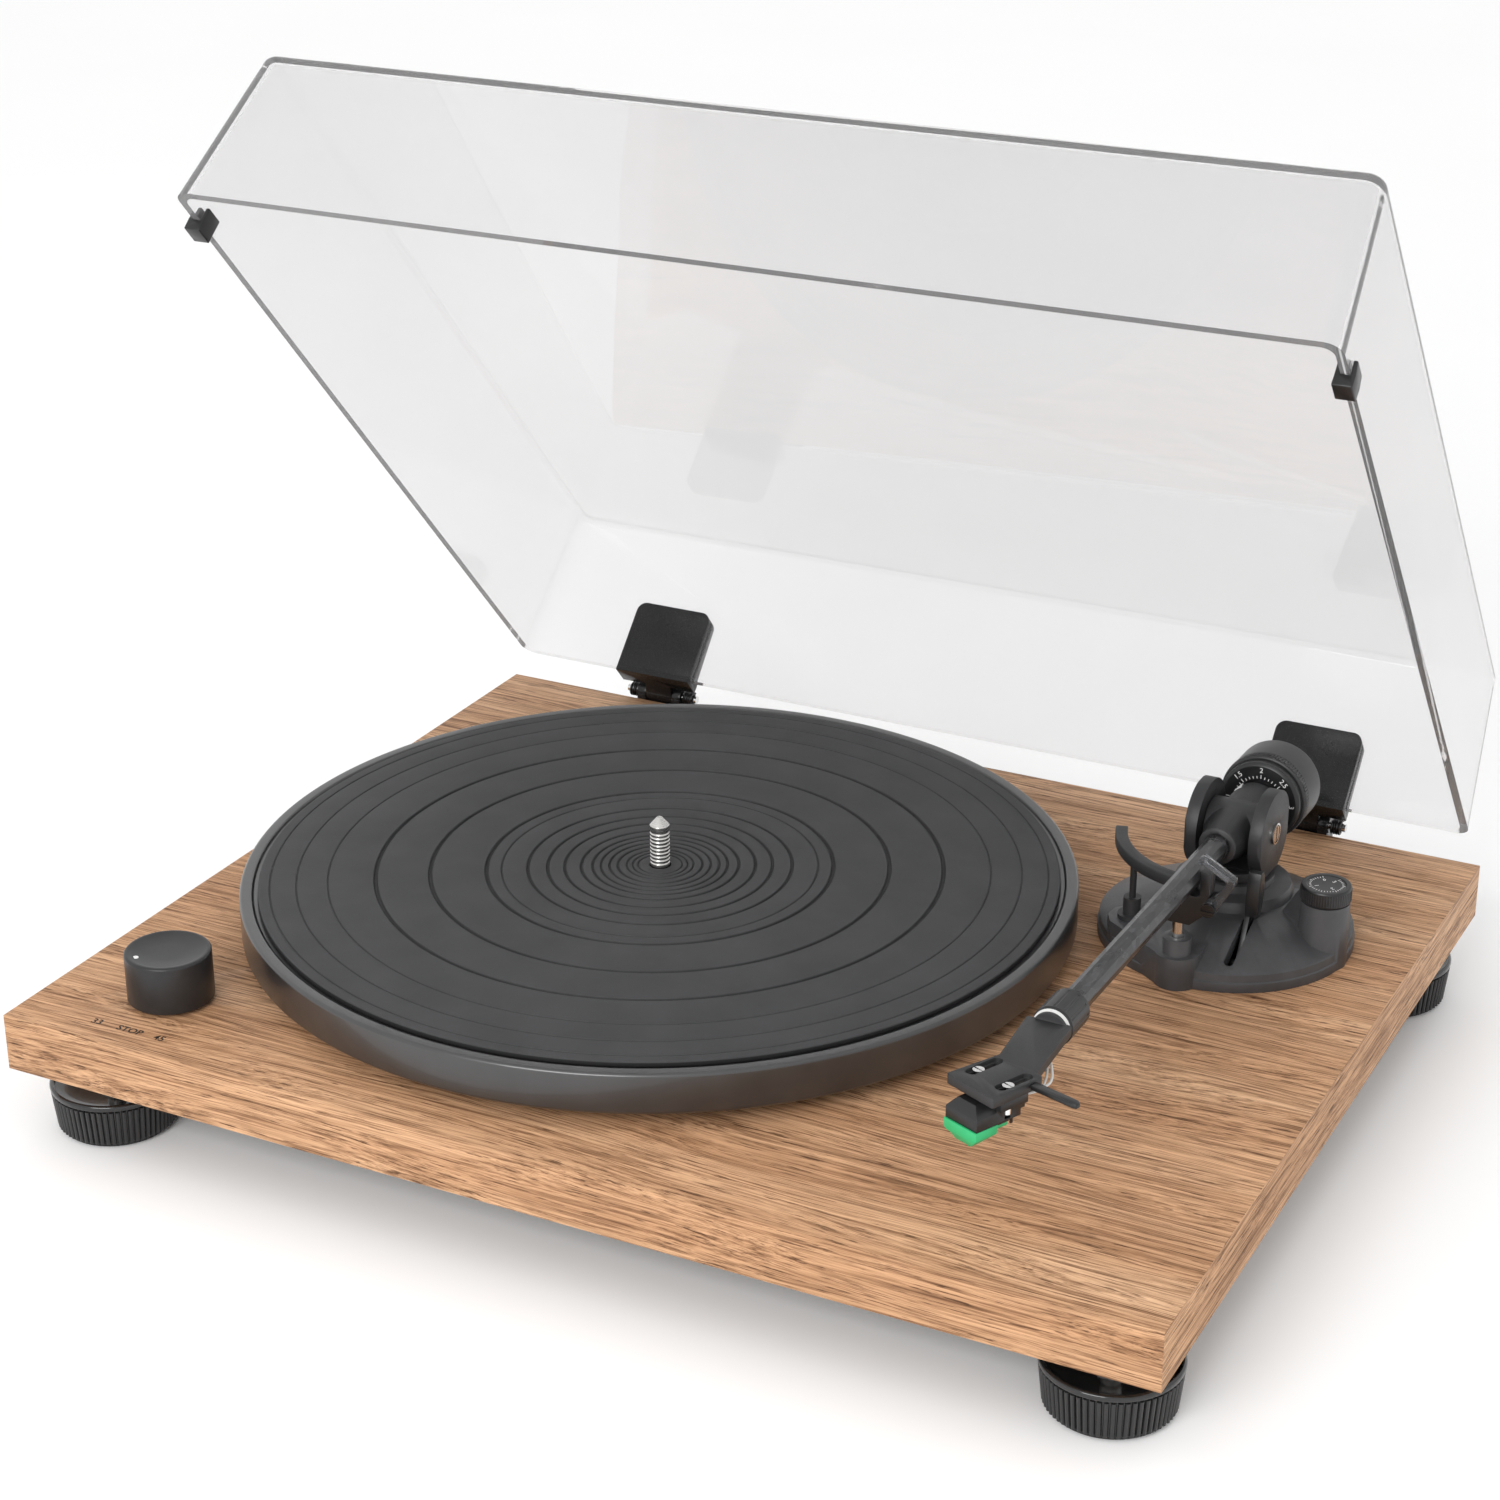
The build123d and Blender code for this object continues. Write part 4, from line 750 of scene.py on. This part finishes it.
pin = [(0, -13.9), (3.0, -13.9), (3.0, 4.6), (11.0, 4.6), (11.0, 17.0), (3.3, 17.0), (3.3, 22.0), (3.6, 22.0)]
for k in range(9):
    z = 23.2 + 1.45 * k
    pin += [(3.6, z), (3.28, z + 0.3), (3.28, z + 0.55), (3.6, z + 0.85)]
pin += [(3.6, 37.8), (1.0, 40.7), (0.5, 41.0), (0, 41.0)]
settle(turned("record_pin_turned", pin, STEEL, PLATTER, 64, 0.12), "platter_group", "spindle")

# ---- speed knob --------------------------------------------------------------------------------
settle(turned("speed_knob_turned", [
    (0, -12.0), (3.0, -12.0), (3.0, 1.5), (14.7, 1.5), (15.0, 1.8), (15.0, 18.6), (14.4, 19.2), (13.6, 19.2),
    (11.5, 18.6), (6, 18.2), (0, 18.1)], KNOB_BLACK, KNOB, 128, 0.35), "knob", "speed_knob")
dot_x, dot_y = -11.2 * math.sin(math.radians(38)), -11.2 * math.cos(math.radians(38))
settle(turned("speed_knob_dot", [(0, 18.3), (1.05, 18.3), (1.05, 18.70), (0, 18.70)], WHITE_INK,
              KNOB @ shift(dot_x, dot_y, 0), 24, 0.05), "knob")

# ---- feet --------------------------------------------------------------------------------------
for name, (x, y) in FEET.items():
    body, node, at = "foot_" + name + "_group", "foot_" + name, DECK @ shift(x, y, 0)
    shell = turned("foot_shell_" + name, [
        (3.0, -33.4), (8, -33.4), (17, -32.2), (20.6, -31.6), (21.2, -30.2), (21.6, -30.0), (22.3, -30.5), (22.5, -31.0),
        (22.5, -31.9), (22.1, -32.5), (21.3, -32.9), (20.0, -45.4), (19.9, -46.3), (17.6, -46.3), (17.6, -44.0),
        (3.0, -44.0)], FOOT_RING, at, 128, 0.2)
    settle(shell, body, node)
    ribs = BARS.make("foot_ribs_" + name, FOOT_BLACK, at @ shift(0, 0, -39.55), Count=64, Radius=20.75, Step_angle=5.625,
                     Deep=1.6, Wide=1.72, Tall=13.3, Lean=6.3, Sides=8)
    settle(ribs, body)
    pad = turned("foot_pad_" + name, [(0, -48), (18.4, -48), (19.4, -47.5), (19.4, -46.3), (17.5, -46.3), (17.5, -44.1),
                                      (0, -44.1)], SOFT_RUBBER, at, 96, 0.3)
    settle(pad, body)
    stud = [(0, -44.0)]
    for k in range(22):
        z = -43.9 + 1.65 * k
        stud += [(2.6, z), (2.95, z + 0.5), (2.95, z + 0.75), (2.6, z + 1.25)]
    stud += [(2.4, -6.7), (0, -6.5)]
    settle(turned("foot_stud_" + name, stud, ZINC, at, 40, 0.0), body)
    nut = turned("foot_nut_" + name, [(3.0, -33.3), (5.0, -33.3), (5.0, -30.6), (3.0, -30.6)], ZINC, at, 6, 0.0)
    settle(nut, body)

# ---- dust cover and hinges ---------------------------------------------------------------------
settle(from_node("dust_cover_clear", "dust_cover", ACRYLIC, 0.0, smooth=30), "cover", "dust_cover")
for piece, node, finish, ease, body in (
        ("hinge_leaves_moulded", "hinge_leaves", LEAF_BLACK, 0.45, "cover"),
        ("cover_stops_moulded", "cover_bumpers", DEEP_BLACK, 0.4, "cover"),
        ("hinge_bases_moulded", "hinge_bases", LEAF_BLACK, 0.35, "chassis")):
    settle(from_node(piece, node, finish, ease), body, node)
springs = []
for side in (-1, 1):
    for end in (-1, 1):
        at = DECK @ shift(side * 140.5 + end * 10.9, 174.6, 2.2) @ turn(90 * end, "Y")
        springs.append(SPRING.make("spring", DARK_STEEL, at, Turns=3.6, Radius=2.66, Wire=0.5, Length=3.6))
settle(joined("hinge_springs_wound", springs), "chassis", "hinge_springs")
for side, name in ((-1, "left"), (1, "right")):
    at = DECK @ shift(side * 140.5, 172.75, -13.5) @ turn(-90, "X")
    settle(HEADS.make("hinge_screws_" + name, BLACK_SCREW, at, Columns=2, Rows=1, Across=26.4, Down=0.001), "chassis")

# ---- tonearm base and what stands on it --------------------------------------------------------
settle(from_node("arm_base_moulded", "arm_base", BASE_BLACK, 0.5), "chassis", "arm_base")
settle(from_node("lift_bar_moulded", "lift_bar", MATTE_BLACK, 0.6), "lifter", "lift_bar")
settle(from_node("cue_lever_moulded", "cue_lever", DEEP_BLACK, 1.3, 3), "lever", "cue_lever")
settle(from_node("arm_rest_moulded", "arm_rest", DEEP_BLACK, 0.35), "chassis", "arm_rest")
settle(from_node("rest_clip_smoked", "rest_clip", SMOKED, 0.25), "clip", "rest_clip")
settle(turned("bias_dial_turned", [
    (0, 8), (2.5, 8), (2.5, 24.4), (8.6, 24.4), (8.8, 24.7), (8.8, 29.6), (8.5, 30.2), (6.9, 30.2), (6.7, 29.9), (0, 29.9)],
    DEEP_BLACK, BIAS_DIAL, 96, 0.2), "anti_skate", "anti_skate_dial")
settle(BARS.make("bias_dial_grip", MATTE_BLACK, BIAS_DIAL @ shift(0, 0, 27.1), Count=60, Radius=8.72, Step_angle=6.0,
                 Deep=0.55, Wide=0.62, Tall=4.2, Sides=6), "anti_skate")
settle(BARS.make("bias_dial_scale", WHITE_INK, BIAS_DIAL @ shift(0, 0, 29.92), Count=31, Radius=5.7, First_angle=-240.0,
                 Step_angle=10.0, Deep=1.0, Wide=0.28, Tall=0.08, Sides=4, Every=5, Main_deep=1.5), "anti_skate")
for figure in range(4):
    angle = -240 + 100 * figure
    place = BIAS_DIAL @ turn(angle, "Z") @ shift(3.6, 0, 29.93) @ turn(-90, "Z")
    mark = lettering("bias_figure_%d" % figure, str(figure), 2.2, WHITE_INK, place, 0.06)
    settle(mark, "anti_skate")

# ---- tonearm -----------------------------------------------------------------------------------
settle(from_node("arm_yoke_moulded", "arm_yoke", MATTE_BLACK, 0.5), "yoke", "arm_yoke")
settle(from_node("pivot_block_moulded", "pivot_block", MATTE_BLACK, 0.3), "tonearm", "pivot_block")
settle(from_node("arm_tube_carbon", "arm_tube", CARBON, 0.22, smooth=20), "tonearm", "arm_tube")
settle(from_node("headshell_moulded", "headshell", MATTE_BLACK, 0.28), "tonearm", "headshell")
settle(from_node("finger_lift_moulded", "finger_lift", DEEP_BLACK, 0.35), "tonearm", "finger_lift")
settle(from_node("cartridge_moulded", "cartridge", DEEP_BLACK, 0.25), "tonearm", "cartridge")
settle(from_node("stylus_moulded", "stylus", STYLUS_GREEN, 0.12), "tonearm", "stylus")

for name, angle in (("left", 128.0), ("right", -32.0)):
    shape = bmesh.new()
    outline = [(-1.5, 15.6), (1.5, 15.6), (0.0, 21.4)]
    lower = [shape.verts.new((x, y, 8.6)) for x, y in outline]
    upper = [shape.verts.new((x, y, 9.15)) for x, y in outline]
    shape.faces.new(lower[::-1])
    shape.faces.new(upper)
    for i in range(3):
        j = (i + 1) % 3
        shape.faces.new((lower[i], lower[j], upper[j], upper[i]))
    bmesh.ops.recalc_face_normals(shape, faces=shape.faces)
    mesh = bpy.data.meshes.new("force_index_" + name)
    shape.to_mesh(mesh)
    shape.free()
    mesh.transform(ARM @ turn(90 - angle, "Y"))
    settle(link("force_index_" + name, mesh, WHITE_INK), "tonearm")

# ---- counterweight and force dial --------------------------------------------------------------
weight = turned("counterweight_turned", [
    (5.6, 28.4), (15.4, 28.4), (16.0, 28.9), (16.0, 29.2), (15.7, 29.5), (15.7, 32.0), (16.0, 32.4), (16.0, 45.6),
    (14.6, 47.0), (5.6, 47.0)], WEIGHT_BLACK, ARM, 128, 0.35, "Y")
settle(weight, "weight", "counterweight")
hub = turned("counterweight_hub", [(6.0, 26.2), (8.0, 26.2), (8.0, 28.5), (6.0, 28.5)], WEIGHT_BLACK, ARM, 64, 0.1, "Y")
settle(hub, "weight")
settle(BARS.make("counterweight_knurl", WEIGHT_BLACK, ARM @ turn(-90, "X") @ shift(0, 0, 30.7), Count=90, Radius=15.75,
                 Step_angle=4.0, Deep=0.8, Wide=0.85, Tall=2.7, Sides=6), "weight")
settle(turned("force_dial_turned", [(8.05, 24.5), (8.3, 24.4), (13.6, 24.4), (14.8, 25.2), (14.8, 27.9), (14.6, 28.0),
                                    (8.05, 28.0)], DEEP_BLACK, ARM, 128, 0.2, "Y"), "dial", "force_dial")
FACE = ARM @ turn(90, "X")
settle(BARS.make("force_dial_scale", WHITE_INK, FACE @ shift(0, 0, -24.39), Count=40, Radius=9.3, First_angle=90.0,
                 Step_angle=-9.0, Deep=1.3, Wide=0.36, Tall=0.08, Sides=4, Every=5, Main_deep=1.5), "dial")
for k, figure in enumerate(("2", "2.5", "3", "3.5", "0", ".5", "1", "1.5")):
    place = FACE @ turn(-45 * k, "Z") @ shift(0, 12.0, -24.38)
    settle(lettering("force_figure_%d" % k, figure, 2.7, WHITE_INK, place, 0.06), "dial")

# ---- nodes whose own shape is right get their finish -------------------------------------------
FINISHES = {
    "bottom_cover": MATTE_BLACK, "chassis_screws": BLACK_SCREW, "bearing_housing": ZINC, "bearing_bushes": BRONZE,
    "thrust_ball": CHROME, "drive_belt": BELT_RUBBER, "motor_can": ZINC, "motor_plate": ZINC,
    "motor_grommets": SOFT_RUBBER, "circuit_board": CIRCUIT, "board_parts": BOARD_PARTS, "speed_switch": NYLON,
    "rear_panel": MATTE_BLACK, "rca_jacks": GOLD, "jack_inserts": INSERTS, "hinge_pins": CHROME, "arm_bearing": ZINC,
    "lift_cylinder": MATTE_BLACK, "rest_stem": CHROME, "rest_screw": BLACK_SCREW, "ground_knob": NICKEL,
    "line_switch": MATTE_BLACK, "motor_pulley": BRONZE, "pivot_screws": CHROME, "headshell_collar": DEEP_BLACK,
    "headshell_gasket": WHITE_SEAL, "cartridge_screws": CHROME, "cartridge_leads": LEAD_WHITE,
    "weight_stub": DARK_STEEL, "weight_sleeve": NYLON,
}
for node, finish in FINISHES.items():
    mesh = nodes[node].data
    mesh.materials.clear()
    mesh.materials.append(finish)


# ---- floor, light, camera ----------------------------------------------------------------------
def plain_floor():
    f = Finish("pale_floor")
    cloud = f.noise(f.stretched((1, 1, 1)), 0.004, 2.0, 0.5)
    f.set(colour=f.ramp(cloud, [(0.3, (0.955, 0.955, 0.955)), (0.7, (0.965, 0.965, 0.965))]), rough=0.85, shine=0.1)
    mesh = bpy.data.meshes.new("studio_floor")
    mesh.from_pydata([(-9, -9, 0), (9, -9, 0), (9, 9, 0), (-9, 9, 0)], [], [(0, 1, 2, 3)])
    link("studio_floor", mesh, f.material)


def soft_light(name, at, toward, size, watts, tone=(1, 1, 1)):
    lamp = bpy.data.lights.new(name, "AREA")
    lamp.shape = "RECTANGLE"
    lamp.size, lamp.size_y = size
    lamp.energy = watts
    lamp.color = tone
    stand = bpy.data.objects.new(name, lamp)
    stand.location = at
    stand.rotation_euler = (Vector(toward) - Vector(at)).to_track_quat("-Z", "Y").to_euler()
    bpy.context.scene.collection.objects.link(stand)


def sky(strength):
    world = bpy.data.worlds.new("soft_room")
    world.use_nodes = True
    world.node_tree.nodes["Background"].inputs["Color"].default_value = (1, 1, 1, 1)
    world.node_tree.nodes["Background"].inputs["Strength"].default_value = strength
    bpy.context.scene.world = world


def camera():
    azimuth, elevation, roll = (math.radians(a) for a in (27.202, 23.928, -0.282))
    back = Vector((math.sin(azimuth) * math.cos(elevation), -math.cos(azimuth) * math.cos(elevation), math.sin(elevation)))
    level = Vector((math.cos(azimuth), math.sin(azimuth), 0))
    upright = back.cross(level)
    right = level * math.cos(roll) + upright * math.sin(roll)
    up = upright * math.cos(roll) - level * math.sin(roll)
    lens = bpy.data.cameras.new("studio_camera")
    lens.lens = 74.85
    lens.sensor_width = 36.0
    lens.clip_start = 0.05
    view = bpy.data.objects.new("studio_camera", lens)
    view.matrix_world = Matrix(((right.x, up.x, back.x, 0.4467), (right.y, up.y, back.y, -0.9091),
                                (right.z, up.z, back.z, 0.5624), (0, 0, 0, 1)))
    bpy.context.scene.collection.objects.link(view)
    bpy.context.scene.camera = view


plain_floor()
sky(1.0)
soft_light("front_softbox", (0.05, -1.40, 0.80), (0.02, -0.05, 0.05), (0.8, 0.6), 12)
camera()
bpy.context.scene.view_settings.view_transform = "Standard"
